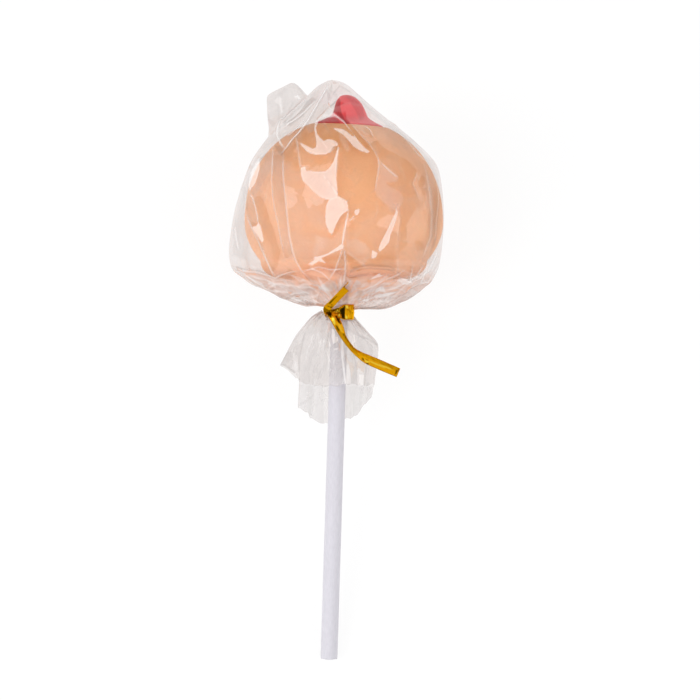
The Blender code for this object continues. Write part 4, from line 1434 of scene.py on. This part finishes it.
    def milkiness(self, points: Points, angle: np.ndarray) -> Points:
        """Give the haze that thickens in the gathers: fine streaks that run in to the neck.

        Args:
            points: the panel's points.
            angle: their angles round the axis.

        Returns:
            The haze at each point.
        """
        z = points[..., 2]
        begin = 2.0 + 1.0 * np.sin(5.0 * angle) + 1.0 * zigzag(9.0 * angle)
        low = rise(begin - z, 0.0, 2.6)
        edge = rise(-z, 3.0, 7.0)
        streaks = (0.5 + 0.25 * zigzag(17.0 * angle + 1.3 * np.sin(5.0 * angle))
                   + 0.25 * zigzag(47.0 * angle + 2.1 * np.sin(4.0 * angle)))
        return 0.05 * rise(-z, -5.0, 0.0) + low * (0.42 + 0.20 * streaks - 0.38 * edge)

    def glow(self, x: Points, z: Points) -> Points:
        """Give how much of the candy's colour the haze picks up, a painted glow of the candy's light: most
        in the middle of the base.
        """
        across = 1.0 - 0.65 * rise(np.abs(x), 17.0, 27.0)
        return across * (0.42 + 0.5 * rise(z, -4.5, 1.0)) * rise(5.5 - z, 0.0, 2.0)

    def kept_clear(self, points: Points) -> Points:
        """Push the film straight out where it would touch the candy.

        Args:
            points: the panel's points.

        Returns:
            The points, none of them nearer to the candy than the clearance.
        """
        across, behind, radius = self.head.clear_radius(points)
        distance = np.hypot(across, behind)
        short = np.maximum(radius + self.clearance - distance, 0.0)
        outwards = np.stack((across, behind, np.zeros_like(across)), axis=-1)
        outwards /= np.maximum(distance, 1e-6)[..., None]
        return points + np.minimum(short, 2.5)[..., None] * outwards

    def folds(self, side: Side, draw: np.random.Generator) -> list[Fold]:
        """Give a panel's folds: some drawn for both panels, and the front's chosen ones.

        Args:
            side: the panel.
            draw: the random draws.

        Returns:
            The folds.
        """
        drawn = (*self.low_crumple.folds(draw), *self.top_crumple.folds(draw))
        if side is Side.BACK:
            return [*drawn, *self.back_crumple.folds(draw)]
        return [*drawn, *self.long_folds(), *self.top_folds(), *self.low_folds(),
                *self.front_crumple.folds(draw)]

    def panel(self, side: Side) -> None:
        """Build one panel: the form, its folds, its gathers, kept clear and laid on the table.

        Args:
            side: the panel.
        """
        front = side is Side.FRONT
        stations = np.concatenate(((0.0,), np.cumsum(self.row_shares)))
        down = np.interp(np.linspace(0.0, stations[-1], self.rows), stations,
                         np.arange(len(stations)))[:, None]
        turn = np.linspace(0.0, math.pi, self.front_columns if front else self.back_columns)
        angle = turn[None, :] + (0.0 if front else math.pi)
        points = self.shape.points(down, angle)
        normal = outward(points)
        film = FilmMarks(points, normal)
        draw = np.random.default_rng(self.seed + (not front))
        relief = sum((fold.press(film) for fold in self.folds(side, draw)), np.zeros_like(film.x))
        relief += self.gathers(points, angle)
        film.marks[..., 2] += self.milkiness(points, angle)
        # Painted glow of the candy's light in the haze.
        film.warmth += self.glow(film.x, film.z)
        seam = rise(np.abs(np.sin(angle)), 0.0, 0.12)
        top = rise(down, 0.0, 0.6)
        points = self.kept_clear(points + (relief * seam * top)[..., None] * normal)
        film.normal = outward(points)
        marks = self.shards(draw, self.front_shards if front else self.back_shards)
        if front:
            marks += (*self.veils(), *self.toned_veils(), *self.top_veils(), *self.low_veils(),
                      *self.facets())
        for mark in marks:
            mark.press(film)
        world = self.frame.to_world(points)
        world[..., 2] = np.maximum(world[..., 2], self.table_gap * MM)
        film.dress("film_bag_" + side.value, world, False, self.frame, self.material)

    def make(self) -> None:
        """Build both panels."""
        for side in Side:
            self.panel(side)


@dataclass
class FilmSkirt:
    """The bag's mouth below the tie: a pleated skirt round the stick.

    Spokes from the tie down to the ragged hem hold its form: they run from the right over the
    front to the left and round the back, and each has five points of right, front and up.
    """

    frame: StandingFrame
    material: bpy.types.Material
    spokes: list[Knots] = field(default_factory=lambda: [
        [(3.4, 0.2, -9.9), (5.2, 0.4, -12.1), (8.6, 0.6, -15.6),
         (11.6, 0.8, -19.4), (10.8, 0.8, -30.6)],
        [(2.5, 2.2, -10.5), (3.8, 3.0, -12.9), (6.9, 4.0, -17.5),
         (9.1, 4.6, -23.0), (8.4, 4.6, -31.2)],
        [(1.4, 3.0, -10.9), (2.3, 4.2, -13.5), (3.9, 5.6, -18.4),
         (5.3, 6.6, -23.9), (5.5, 6.6, -30.8)],
        [(0.5, 3.6, -11.2), (1.0, 5.2, -13.8), (1.2, 7.4, -18.8),
         (1.8, 8.4, -24.6), (2.5, 8.6, -30.9)],
        [(-1.0, 3.6, -11.2), (-0.9, 5.0, -13.9), (-1.3, 6.6, -18.9),
         (-1.4, 7.4, -24.7), (-1.5, 7.6, -31.5)],
        [(-2.4, 3.2, -11.0), (-2.9, 4.6, -13.7), (-3.9, 6.6, -18.7),
         (-4.6, 7.4, -24.8), (-5.0, 7.2, -31.6)],
        [(-3.3, 2.6, -10.7), (-5.0, 4.0, -12.8), (-7.2, 5.4, -17.6),
         (-8.5, 6.4, -24.1), (-8.2, 6.2, -31.2)],
        [(-4.2, 2.0, -10.2), (-6.8, 3.6, -12.3), (-9.6, 5.0, -16.2),
         (-11.1, 5.6, -23.3), (-10.9, 5.0, -30.6)],
        [(-4.7, 1.2, -9.9), (-7.7, 2.4, -11.7), (-10.9, 3.2, -15.9),
         (-13.3, 3.4, -21.9), (-12.6, 3.4, -28.0)],
        [(-5.1, 0.6, -9.6), (-8.5, 0.8, -11.6), (-12.6, 1.0, -16.9),
         (-14.8, 1.6, -21.3), (-17.0, 2.0, -25.7)],
        [(-5.0, -0.2, -9.7), (-8.2, -0.6, -11.9), (-12.0, -0.8, -17.7),
         (-13.6, -0.4, -23.1), (-12.5, 0.2, -29.2)],
        [(-4.9, -0.8, -9.9), (-7.4, -1.4, -12.3), (-10.8, -1.8, -18.9),
         (-11.8, -1.6, -24.8), (-11.0, -1.0, -30.9)],
        [(-4.3, -1.4, -10.1), (-6.5, -2.2, -12.8), (-9.6, -2.8, -19.7),
         (-10.8, -3.0, -27.7), (-11.4, -2.8, -38.1)],
        [(-3.4, -2.2, -10.7), (-5.0, -3.2, -13.7), (-7.5, -4.4, -21.1),
         (-8.7, -4.8, -29.4), (-8.7, -4.6, -39.6)],
        [(-2.5, -2.8, -10.9), (-3.6, -4.2, -14.2), (-5.7, -5.6, -21.7),
         (-7.2, -5.8, -30.0), (-7.5, -5.4, -41.4)],
        [(-1.6, -3.2, -11.2), (-2.1, -4.8, -14.5), (-3.3, -6.6, -22.2),
         (-3.9, -7.0, -31.1), (-3.3, -6.8, -42.9)],
        [(-0.1, -3.4, -11.2), (-0.0, -5.0, -14.4), (-0.4, -7.0, -22.1),
         (-0.4, -7.6, -31.0), (-0.1, -7.4, -41.5)],
        [(1.1, -3.2, -10.8), (1.7, -4.4, -13.7), (2.5, -6.2, -20.8),
         (3.1, -6.8, -29.7), (3.5, -6.6, -41.1)],
        [(1.9, -2.6, -10.5), (3.2, -3.4, -13.1), (5.2, -4.8, -19.3),
         (5.7, -5.2, -28.1), (5.7, -5.0, -40.2)],
        [(2.8, -1.6, -10.2), (4.4, -2.2, -12.5), (7.5, -2.8, -17.7),
         (8.6, -3.2, -25.9), (8.3, -3.0, -36.6)],
        [(3.2, -0.7, -9.9), (4.9, -0.8, -12.2), (8.4, -1.0, -16.2),
         (10.8, -1.0, -22.3), (10.0, -0.8, -34.7)]])
    columns: int = 460
    rows: int = 150
    sharpness_round: float = 0.26
    sharpness_down: float = 0.34
    seed: int = 5
    flap_top: float = -31.4

    def form(self, turn: np.ndarray, down: np.ndarray) -> Points:
        """Give the skirt's unpleated form: flat panels between the spokes.

        Args:
            turn: places round the skirt, from 0 to 1.
            down: fractional indices down the spokes.

        Returns:
            An array (rows, columns, 3).
        """
        spokes = np.asarray(self.spokes)
        count, stations = spokes.shape[:2]
        table = spokes.reshape(count, -1)
        wrapped = np.concatenate((table[-1:], table, table[:2]))
        around = smooth_curve(wrapped, 1.0 + count * turn, self.sharpness_round)
        lines = np.moveaxis(around.reshape(len(turn), stations, 3), 1, 0).reshape(stations, -1)
        points = smooth_curve(lines, down, self.sharpness_down)
        return points.reshape(len(down), len(turn), 3) * np.array((1.0, -1.0, 1.0))

    def pleats(self, turn: np.ndarray, share: np.ndarray) -> tuple[Points, Points]:
        """Give the fine pleats.

        Args:
            turn: a row of places round the skirt, from 0 to 1.
            share: a column of places down it, from 0 to 1.

        Returns:
            How far the pleats stand off, and how sharp a ridge or, below 0, a valley is.
        """
        uneven = TURN * turn + 0.35 * np.sin(TURN * turn + 0.5) + 0.12 * np.sin(4.0 * TURN * turn)
        sway = 0.5 * np.sin(5.0 * share + 3.0 * TURN * turn)
        middle = zigzag(19.0 * uneven + sway + 0.8)
        fine = zigzag(37.0 * uneven + 1.5 * sway + 2.0)
        near = 1.0 - rise(share, 0.1, 0.8)
        wave = (0.1 + 0.22 * near) * middle + (0.02 + 0.16 * near) * fine
        crease = np.clip(7.0 * np.abs(middle) - 6.2, 0.0, 1.0) * np.sign(middle)
        crease += 0.6 * np.clip(6.0 * np.abs(fine) - 5.2, 0.0, 1.0) * np.sign(fine) * near
        return wave, crease * (0.25 + 0.75 * near)

    def lines(self) -> list[Fold]:
        """Draw the fold lines on the front, each a painted highlight or a painted shade: they fan out
        from the tie.

        Returns:
            The lines, as folds with no relief.
        """
        draw = np.random.default_rng(self.seed)
        lines = []
        for _ in range(44):
            foot = draw.uniform(-12.0, 9.5)
            start, end = np.sort(draw.uniform(0.05, 1.0, 2))
            end = max(end, start + 0.15)
            hem = -31.0 + 4.0 * max(-foot - 9.0, 0.0) / 3.0
            path = tuple((0.25 * foot + 0.75 * foot * part ** 0.75 + 0.4 * draw.normal(),
                          -11.5 + part * (hem + 11.5))
                         for part in (start, 0.5 * (start + end), end))
            # Each line is a painted highlight or a painted shade.
            light = draw.uniform() < 0.45
            lines.append(Fold(path, 0.0, 1.0, 0.4 * light * draw.uniform(0.4, 1.0),
                              0.45 * (not light) * draw.uniform(0.4, 1.0), 0.16, 0.1, 0.4))
        return lines

    def patches(self) -> list[Veil]:
        """Give the skirt's bright patches, which are painted highlights, and its doubled patches."""
        return [
            Veil(((1.8, -15.0), (2.6, -30.8), (-2.4, -31.6), (-3.2, -15.1)), soft=0.3, bright=0.16),
            Veil(((3.5, -12.0), (5.5, -17.0), (4.5, -22.0), (1.0, -23.0), (0.2, -12.0)),
                 soft=0.7, bright=0.24),
            Veil(((10.5, -31.3), (10.5, -37.0), (3.0, -43.0), (-12.0, -42.5), (-12.3, -31.3)),
                 doubled=0.1, haze=0.05),
            Veil(((0.7, -19.4), (2.7, -30.8), (2.1, -30.9), (0.9, -22.6)), bright=0.55),
            Veil(((-2.2, -14.5), (-1.5, -14.8), (-0.9, -17.1), (-0.5, -16.8), (-0.2, -18.0), (-1.0, -18.9),
                  (-1.6, -19.2), (-2.1, -17.4)), bright=0.9),
            Veil(((-5.3, -34.0), (-3.8, -33.7), (-2.9, -34.8), (-2.3, -35.1), (-4.9, -35.9)), bright=0.6),
            Veil(((-4.5, -31.6), (-3.9, -31.9), (-3.5, -33.4), (-4.1, -33.7)), bright=0.45),
            Veil(((-3.9, -36.3), (-3.4, -36.3), (-2.2, -39.2), (-2.4, -40.4)), bright=0.45),
            Veil(((-8.2, -33.5), (-9.2, -36.5), (-9.5, -39.1), (-9.8, -38.8), (-9.5, -36.5), (-8.7, -33.5)),
                 bright=0.35),
            Veil(((-6.5, -36.7), (-7.1, -40.2), (-7.5, -40.5), (-7.0, -36.7)), bright=0.4),
            Veil(((-12.1, -24.2), (-11.7, -26.5), (-12.2, -27.7), (-13.7, -26.6), (-13.2, -25.4)),
                 bright=0.25),
            Veil(((6.3, -27.8), (7.8, -28.0), (7.6, -32.4), (8.1, -34.5), (6.4, -30.4)), bright=0.6),
            Veil(((3.8, -21.7), (4.2, -21.9), (5.0, -24.0), (5.1, -26.3), (4.5, -25.5), (4.6, -24.0)),
                 bright=0.45),
            Veil(((8.0, -17.4), (10.7, -19.3), (10.6, -19.7), (7.9, -17.9)), bright=0.6),
            Veil(((4.2, -16.3), (4.6, -16.3), (5.0, -18.4), (4.5, -18.7)), bright=0.5),
            Veil(((4.2, -12.2), (5.2, -12.3), (5.7, -13.4), (4.7, -13.4)), bright=0.4),
            Veil(((-0.1, -20.2), (-0.5, -20.9), (-1.6, -21.2), (-1.1, -20.5)), bright=0.5),
            Veil(((-6.4, -15.5), (-6.1, -15.5), (-5.4, -19.6), (-5.7, -19.9), (-6.2, -17.8)), bright=0.4),
            Veil(((-3.4, -17.2), (-3.1, -17.2), (-2.3, -19.8), (-2.6, -20.1)), bright=0.5),
            Veil(((-3.8, -21.0), (-3.3, -21.0), (-2.3, -24.2), (-2.6, -24.7)), bright=0.4),
            Veil(((1.1, -12.3), (3.2, -14.3), (6.2, -16.1), (9.8, -17.8), (11.6, -19.2), (6.0, -16.9),
                  (2.7, -14.9)), doubled=0.6, haze=0.03),
            Veil(((3.8, -11.9), (5.5, -12.2), (11.6, -19.1), (8.6, -17.1), (5.0, -14.3)),
                 doubled=0.3, haze=0.03),
            Veil(((8.4, -29.5), (10.2, -31.2), (10.0, -34.7), (8.3, -36.5), (8.8, -33.6)),
                 doubled=0.35, haze=0.04, soft=0.25),
            Veil(((-17.0, -25.7), (-12.6, -16.9), (-11.4, -15.9), (-11.9, -19.8), (-13.5, -23.7),
                  (-15.0, -25.8)), doubled=0.15, haze=0.03, soft=0.3),
            Veil(((-17.0, -25.7), (-15.5, -25.5), (-12.2, -27.7), (-12.5, -28.2)), doubled=0.35, haze=0.02),
            Veil(((-9.7, -16.2), (-11.1, -23.3), (-11.2, -27.7), (-11.7, -27.7), (-11.5, -23.3),
                  (-10.2, -16.2)), doubled=0.4),
            Veil(((-6.7, -34.2), (-6.7, -34.6), (-11.0, -38.0), (-11.4, -37.4)), doubled=0.3),
            Veil(((-6.9, -11.1), (-5.7, -10.8), (-5.4, -11.6), (-6.3, -12.0)), doubled=0.7, soft=0.25),
            Veil(((-3.6, -12.8), (-2.4, -13.3), (-2.6, -15.1), (-3.5, -16.3), (-3.2, -14.5)),
                 doubled=0.1, haze=0.12, warmth=0.8),
            Veil(((0.7, -18.8), (0.8, -20.9), (0.1, -21.2), (-0.2, -18.8)),
                 doubled=0.1, haze=0.12, warmth=0.8),
            Veil(((-0.1, -38.8), (0.6, -39.1), (0.1, -41.9), (-0.4, -40.6)), warmth=0.3, bright=0.7),
        ]

    def make(self) -> None:
        """Build the skirt: its form, pleated most where the tie gathers it, with painted highlights on the
        pleats' ridges and painted shade in their valleys.
        """
        last = len(self.spokes[0]) - 1.0
        down = np.linspace(0.0, last, self.rows)
        turn = np.linspace(0.0, 1.0, self.columns, endpoint=False)
        points = self.form(turn, down)
        share = (down / last)[:, None]
        wave, crease = self.pleats(turn[None, :], share)
        normal = outward(points)
        folded = points + wave[..., None] * normal
        folded[..., 2] += 0.25 * rise(share, 0.8, 1.0) * zigzag(23.0 * TURN * turn)
        film = FilmMarks(points, normal)
        # Painted highlight on pleat ridges, painted shade in valleys, a little darker near the tie.
        film.marks[..., 0] = 0.3 * np.clip(crease, 0.0, 1.0)
        film.marks[..., 1] = 0.3 * np.clip(-crease, 0.0, 1.0) + 0.05 * (1.0 - rise(share, 0.1, 0.4))
        film.marks[..., 2] = 0.12 + 0.12 * (1.0 - rise(share, 0.0, 0.35))
        plain = film.marks.copy()
        for mark in (*self.lines(), *self.patches()):
            mark.press(film)
        shown = ((points[..., 1] < 0.0) | (film.z < self.flap_top))[..., None]
        film.marks = np.where(shown, film.marks, plain)
        film.warmth *= shown[..., 0]
        film.dress("film_skirt", self.frame.to_world(folded), True, self.frame, self.material)


def ribbon(route: Knots, steps: int, crease: float, crinkle: float,
           thickness: float = 0.07, across_steps: int = 11) -> Points:
    """Sweep a thin closed strip of foil along a route.

    Args:
        route: stations of right, front, up, width and a turn about the route; a strip that is not
            turned faces away from the stick.
        steps: rows between two stations.
        crease: how far its middle stands out, as a share of its width.
        crinkle: how far it is crumpled, in millimetres.
        thickness: the foil's thickness.
        across_steps: points across the strip.

    Returns:
        The strip's points, row after row, in the standing frame.
    """
    places = np.linspace(0.0, len(route) - 1.0, (len(route) - 1) * steps + 1)
    x, ahead, z, width, turned = smooth_curve(route, places, 0.45).T
    centre = np.stack((x, -ahead, z), axis=-1)
    along = np.gradient(centre, axis=0)
    along /= np.linalg.norm(along, axis=1, keepdims=True)
    facing = np.stack((0.6 * x, -ahead, np.zeros_like(x)), axis=-1)
    across = np.cross(along, facing)
    across /= np.linalg.norm(across, axis=1, keepdims=True)
    outwards = np.cross(across, along)
    cosine, sine = np.cos(turned)[:, None], np.sin(turned)[:, None]
    across, outwards = cosine * across + sine * outwards, cosine * outwards - sine * across
    share = np.linspace(-0.5, 0.5, across_steps)
    ridge = 1.0 - np.abs(2.0 * share)
    crumpled = (zigzag(7.3 * places[:, None] + 6.0 * share)
                + zigzag(12.1 * places[:, None] - 9.0 * share + 1.0))
    bulge = crease * width[:, None] * ridge + crinkle * crumpled
    sheet = (centre[:, None] + (width[:, None] * share)[..., None] * across[:, None]
             + bulge[..., None] * outwards[:, None])
    half = 0.5 * thickness * outwards[:, None]
    ring = np.concatenate((sheet + half, (sheet - half)[:, ::-1]), axis=1)
    caps = [np.repeat(ring[row].mean(axis=0)[None, None], ring.shape[1], axis=1)
            for row in (0, -1)]
    return np.concatenate((caps[0], ring, caps[1]))


@dataclass
class GoldTie:
    """The gold foil tie: an upper tail, a band round the neck, a lower tail and its wire's end.

    The strips' stations are those of a ribbon, and the wire's two ends are right, front and up. Each
    shade is an outline and how far a painted dark reflection darkens the foil inside it, or below 0
    how much a painted glint brightens it.
    """

    frame: StandingFrame
    upper: Knots = field(default_factory=lambda: [
        (1.8, 20.6, -3.1, 2.0, 0.0), (-0.4, 17.6, -5.4, 2.0, 0.0), (-2.3, 14.8, -7.5, 2.05, 0.0),
        (-3.5, 13.2, -8.7, 2.1, 0.0), (-3.9, 11.8, -9.5, 1.9, 0.2), (-3.8, 10.2, -10.0, 1.5, 0.4),
        (-3.2, 8.9, -10.4, 1.2, 0.4)])
    band: Knots = field(default_factory=lambda: [
        (-3.6, 8.4, -10.3, 0.9, 0.0), (-2.7, 8.6, -10.2, 2.0, -0.3), (-1.6, 8.6, -10.2, 2.9, -0.6),
        (-0.1, 8.2, -10.0, 3.6, -0.5), (1.5, 7.6, -9.8, 4.4, 0.0), (3.0, 7.3, -9.7, 4.5, 0.1),
        (3.9, 6.9, -9.7, 4.45, 0.0), (4.1, 4.0, -9.7, 4.4, 0.0), (3.7, -1.2, -9.6, 4.3, 0.0),
        (2.2, -4.2, -9.7, 4.2, 0.0), (-0.2, -5.2, -9.7, 4.0, 0.0), (-2.8, -4.0, -9.8, 3.6, 0.0),
        (-4.1, -0.6, -9.8, 3.0, 0.0), (-4.1, 4.4, -10.0, 2.0, 0.0), (-3.9, 7.2, -10.2, 1.0, 0.0)])
    lower: Knots = field(default_factory=lambda: [
        (-2.4, 9.2, -10.3, 2.6, 0.2), (-1.1, 9.9, -12.2, 2.7, 0.3), (0.2, 10.4, -14.6, 2.45, -0.2),
        (1.3, 10.6, -16.9, 1.8, 0.3), (2.7, 11.0, -18.9, 1.55, 0.2), (4.4, 11.3, -20.8, 1.65, 0.3),
        (6.4, 11.5, -22.2, 2.1, 0.0), (8.4, 11.6, -23.3, 2.75, 0.0), (12.6, 11.8, -25.0, 2.95, 0.0),
        (17.7, 12.0, -27.0, 2.9, 0.0)])
    wire: tuple[tuple[float, ...], ...] = ((1.2, 20.6, -2.6), (2.3, 22.0, -1.2))
    wire_radius: float = 0.16
    shades: Shades = field(default_factory=lambda: [
        (((2.6, -1.7), (4.1, -3.7), (-1.9, -10.1), (-5.1, -10.2), (-5.8, -7.8), (0.8, -1.2)), 0.35),
        (((-3.2, -7.1), (-0.9, -4.9), (-0.9, -5.1), (-3.0, -7.5)), 1),
        (((1.0, -2.0), (1.4, -2.3), (1.3, -2.6), (0.9, -2.4)), 0.9),
        (((-4.9, -8.1), (-4.1, -8.7), (-3.4, -9.2), (-2.5, -9.1), (-3.4, -10.4), (-4.6, -9.9)), 0.75),
        (((1.6, -7.7), (1.6, -11.7), (0.8, -11.5), (0.0, -10.7), (0.5, -10.0), (-0.0, -9.4),
         (0.4, -8.5)), 1),
        (((-4.0, -10.1), (-2.8, -9.7), (-2.2, -10.1), (-2.4, -11.6), (-3.2, -11.0)), 0.95),
        (((-2.5, -9.2), (-0.5, -8.4), (0.1, -8.8), (-1.6, -9.8)), 0.7),
        (((-1.3, -10.9), (-0.7, -10.8), (0.6, -13.1), (0.3, -13.4), (-0.6, -12.4)), 1),
        (((-1.2, -13.6), (-0.6, -13.8), (0.2, -15.1), (-0.3, -15.3)), 0.9),
        (((-1.9, -10.1), (-1.0, -10.3), (0.2, -10.0), (-1.0, -9.7)), 0.8),
        (((-1.0, -11.2), (0.2, -11.6), (1.7, -12.2), (0.2, -12.1)), 0.85),
        (((1.9, -7.6), (3.6, -7.5), (4.0, -11.9), (2.0, -12.0)), 0.12),
        (((-0.6, -15.0), (1.5, -15.8), (5.2, -20.7), (6.1, -22.5), (2.2, -20.2), (0.1, -17.4)), 0.28),
        (((6.9, -22.9), (7.5, -23.2), (7.8, -23.9), (7.2, -23.6)), 0.9),
        (((8.3, -24.3), (9.0, -24.4), (9.0, -25.0), (8.4, -24.9)), 0.9),
        (((7.8, -23.3), (8.8, -23.6), (9.3, -24.0), (8.2, -23.9)), 0.45),
        (((17.0, -26.3), (17.8, -26.3), (17.3, -27.4), (16.8, -27.6)), 0.8),
        (((4.6, -20.5), (5.5, -20.7), (10.0, -22.8), (17.4, -25.7), (17.4, -26.2), (10.0, -23.4),
         (5.5, -21.3)), 0.15),
        (((-1.6, -9.6), (-0.7, -9.1), (-0.1, -9.5), (-1.0, -10.0)), -0.8),
        (((-1.0, -10.4), (0.5, -10.6), (0.6, -11.2), (-0.4, -11.0)), -0.9),
        (((1.6, -7.6), (2.4, -7.6), (2.6, -8.3), (1.7, -8.6)), -0.8),
        (((1.7, -10.8), (2.3, -10.8), (2.4, -11.6), (1.8, -11.7)), -0.8),
        (((-2.2, -11.4), (-1.4, -11.6), (-1.1, -13.6), (-1.8, -13.2)), -0.9),
        (((-0.4, -12.5), (0.4, -13.8), (1.2, -15.9), (0.5, -15.3), (-0.1, -14.1)), -0.35),
        (((7.6, -23.4), (8.5, -23.9), (8.9, -24.4), (8.1, -24.1)), -0.9),
        (((8.2, -23.7), (9.4, -23.9), (9.5, -24.2), (8.7, -24.1)), -0.8),
        (((9.6, -24.0), (13.6, -25.2), (17.1, -26.4), (13.6, -25.6), (9.7, -24.3)), -0.75)])

    def strip(self, name: str, points: Points, material: bpy.types.Material) -> None:
        """Build one strip with its painted dark reflections and glints on the crumpled foil.

        Args:
            name: the piece's name.
            points: the strip's points in the standing frame.
            material: the foil.
        """
        x, z = projected(points)
        shade = np.zeros(x.shape)
        # Painted dark reflections and painted glints, one outline over another.
        for outline, depth in self.shades:
            shade += within(outline, x, z, 0.1) * (depth - shade)
        piece = surface(name, self.frame.to_world(points), closed=True, shade=shade)
        place(piece, material, "gold_tie")

    def wire_points(self) -> Points:
        """Give the bare end of the wire in the foil: a thin rod with rounded ends.

        Returns:
            Its points, ring after ring, in the standing frame.
        """
        start, end = (np.array(point) * np.array((1.0, -1.0, 1.0)) for point in self.wire)
        ahead = (end - start) / np.linalg.norm(end - start)
        side = np.cross(ahead, (0.0, 1.0, 0.0))
        side /= np.linalg.norm(side)
        other = np.cross(ahead, side)
        angle = np.linspace(0.0, TURN, 16, endpoint=False)[:, None]
        ring = np.cos(angle) * side + np.sin(angle) * other
        part = np.linspace(0.0, 1.0, 25)
        thick = self.wire_radius * np.sqrt(np.clip(1.0 - (2.0 * part - 1.0) ** 16, 0.0, 1.0))
        line = start + part[:, None] * (end - start) + 0.08 * np.sin(7.0 * part)[:, None] * side
        return line[:, None] + thick[:, None, None] * ring

    def make(self) -> None:
        """Build the strips and the wire's end."""
        foil = FoilFinish().build()
        upper = ribbon(self.upper, steps=24, crease=0.05, crinkle=0.01)
        band = ribbon(self.band, steps=16, crease=0.04, crinkle=0.05)
        lower = ribbon(self.lower, steps=20, crease=0.14, crinkle=0.03)
        self.strip("gold_tie_upper_tail", upper, foil)
        self.strip("gold_tie_band", band, foil)
        self.strip("gold_tie_lower_tail", lower, foil)
        self.strip("gold_tie_wire", self.wire_points(), foil)


@dataclass
class Studio:
    """The table, the lights and the camera."""

    frame: StandingFrame
    skies: dict[str, Path] = field(default_factory=lambda: {
        "around": ((0.0, 0.55), (1.0, 0.55)),
        "mirrored": ((0.0, 0.9), (0.02, 0.20), (0.30, 0.18), (0.50, 0.50), (0.85, 0.78)),
        "seen": ((0.0, 0.937), (0.22, 0.98))})

    def camera(self) -> None:
        """Make the camera: it looks square down on the lollipop, turned a little about its view."""
        eye = self.frame.to_world(np.array((VIEW.right, -VIEW.distance, VIEW.up)))
        right = math.cos(VIEW.roll) * self.frame.right + math.sin(VIEW.roll) * self.frame.up
        up = math.cos(VIEW.roll) * self.frame.up - math.sin(VIEW.roll) * self.frame.right
        data = bpy.data.cameras.new("camera")
        data.lens = VIEW.lens
        data.sensor_width = VIEW.sensor
        data.clip_start = 0.01
        camera = bpy.data.objects.new("camera", data)
        camera.matrix_world = Matrix.Translation(eye) @ Matrix(
            np.stack((right, up, -self.frame.back), axis=1).tolist()).to_4x4()
        bpy.context.collection.objects.link(camera)
        bpy.context.scene.camera = camera

    def table(self) -> None:
        """Make the table: a wide disc of rings, level at the height that the lollipop lies on."""
        angle = np.linspace(0.0, TURN, 96, endpoint=False)
        radius = np.array((0.0, 0.4, 1.2, 4.0))[:, None]
        points = np.stack((radius * np.cos(angle), -radius * np.sin(angle),
                           np.full((4, 96), -0.00005)), axis=-1)
        floor = surface("table", points, closed=True)
        floor.data.materials.append(FloorFinish().build())

    def light(self, name: str, direction: Vector, distance: float, size: tuple[float, float],
              power: float, seen: str = "all", turn: float = 0.0) -> None:
        """Make a softbox that faces the head.

        Args:
            name: the light's name.
            direction: where it hangs, seen from the head.
            distance: how far away, in metres.
            size: its width and height in metres.
            power: its power in watts.
            seen: "all", "diffuse" or "gloss", the rays that it reaches.
            turn: how far it is turned about its own direction.
        """
        target = Vector(self.frame.to_world(np.array((0.0, 0.0, 20.0))))
        data = bpy.data.lights.new(name, "AREA")
        data.shape = "RECTANGLE"
        data.size, data.size_y = size
        data.energy = power
        lamp = bpy.data.objects.new(name, data)
        spin = Matrix.Rotation(turn, 4, "Z")
        lamp.matrix_world = (Matrix.Translation(target + distance * direction)
                             @ direction.to_track_quat("Z", "Y").to_matrix().to_4x4() @ spin)
        lamp.visible_camera = False
        lamp.visible_glossy = seen != "diffuse"
        lamp.visible_diffuse = seen != "gloss"
        bpy.context.collection.objects.link(lamp)

    def lights(self) -> None:
        """Hang the softboxes: soft light from both sides, and two lamps that only gleam."""
        go = self.frame.direction
        self.light("left softbox", go(-0.8, 0.75, -0.25), 0.9, (0.6, 0.9), 6.6, "diffuse")
        self.light("right softbox", go(0.85, 0.7, -0.1), 0.9, (0.6, 0.9), 4.1, "diffuse")
        self.light("top softbox", go(0.1, 0.7, 0.8), 0.9, (0.5, 0.5), 1.0, "diffuse")
        self.light("left gleam", go(*Gleam.LEFT.value), 0.9, (0.20, 0.30), 0.20, "gloss")
        self.light("right gleam", go(*Gleam.RIGHT.value), 0.9, (0.20, 0.30), 0.20, "gloss")

    def world(self) -> None:
        """Make the surroundings: white behind everything, and in reflections a grey sky.

        Each sky's stops are the upward share of a direction and how light it is there.
        """
        nodes = Nodes(bpy.data.worlds.new("studio"))
        upward = nodes.add("SeparateXYZ", Vector=nodes.add("TexCoord").outputs["Generated"])
        around, mirrored, seen = (
            nodes.shader("Background", Color=nodes.ramp(
                upward.outputs["Z"], [(share, (level,) * 3) for share, level in stops]))
            for stops in self.skies.values())
        rays = nodes.add("LightPath").outputs
        sky = nodes.mix(rays["Is Camera Ray"], nodes.mix(rays["Is Glossy Ray"], around, mirrored),
                        seen)
        bpy.context.scene.world = nodes.finish(sky, "OutputWorld")

    def make(self) -> None:
        """Set up the studio."""
        self.table()
        self.lights()
        self.world()
        self.camera()
        scene = bpy.context.scene
        scene.view_settings.view_transform = "Standard"
        scene.cycles.transparent_max_bounces = 32


def main() -> None:
    """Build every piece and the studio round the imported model."""
    logging.basicConfig(level=logging.INFO, format="%(name)s: %(message)s")
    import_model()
    frame = StandingFrame()
    head = CandyHead(frame)
    head.make()
    PinkCap(frame, head).make()
    PaperStick(frame).make()
    film = FilmFinish().build()
    FilmBag(frame, head, FilmShape(), film).make()
    FilmSkirt(frame, film).make()
    GoldTie(frame).make()
    Studio(frame).make()


if __name__ == "__main__":
    main()
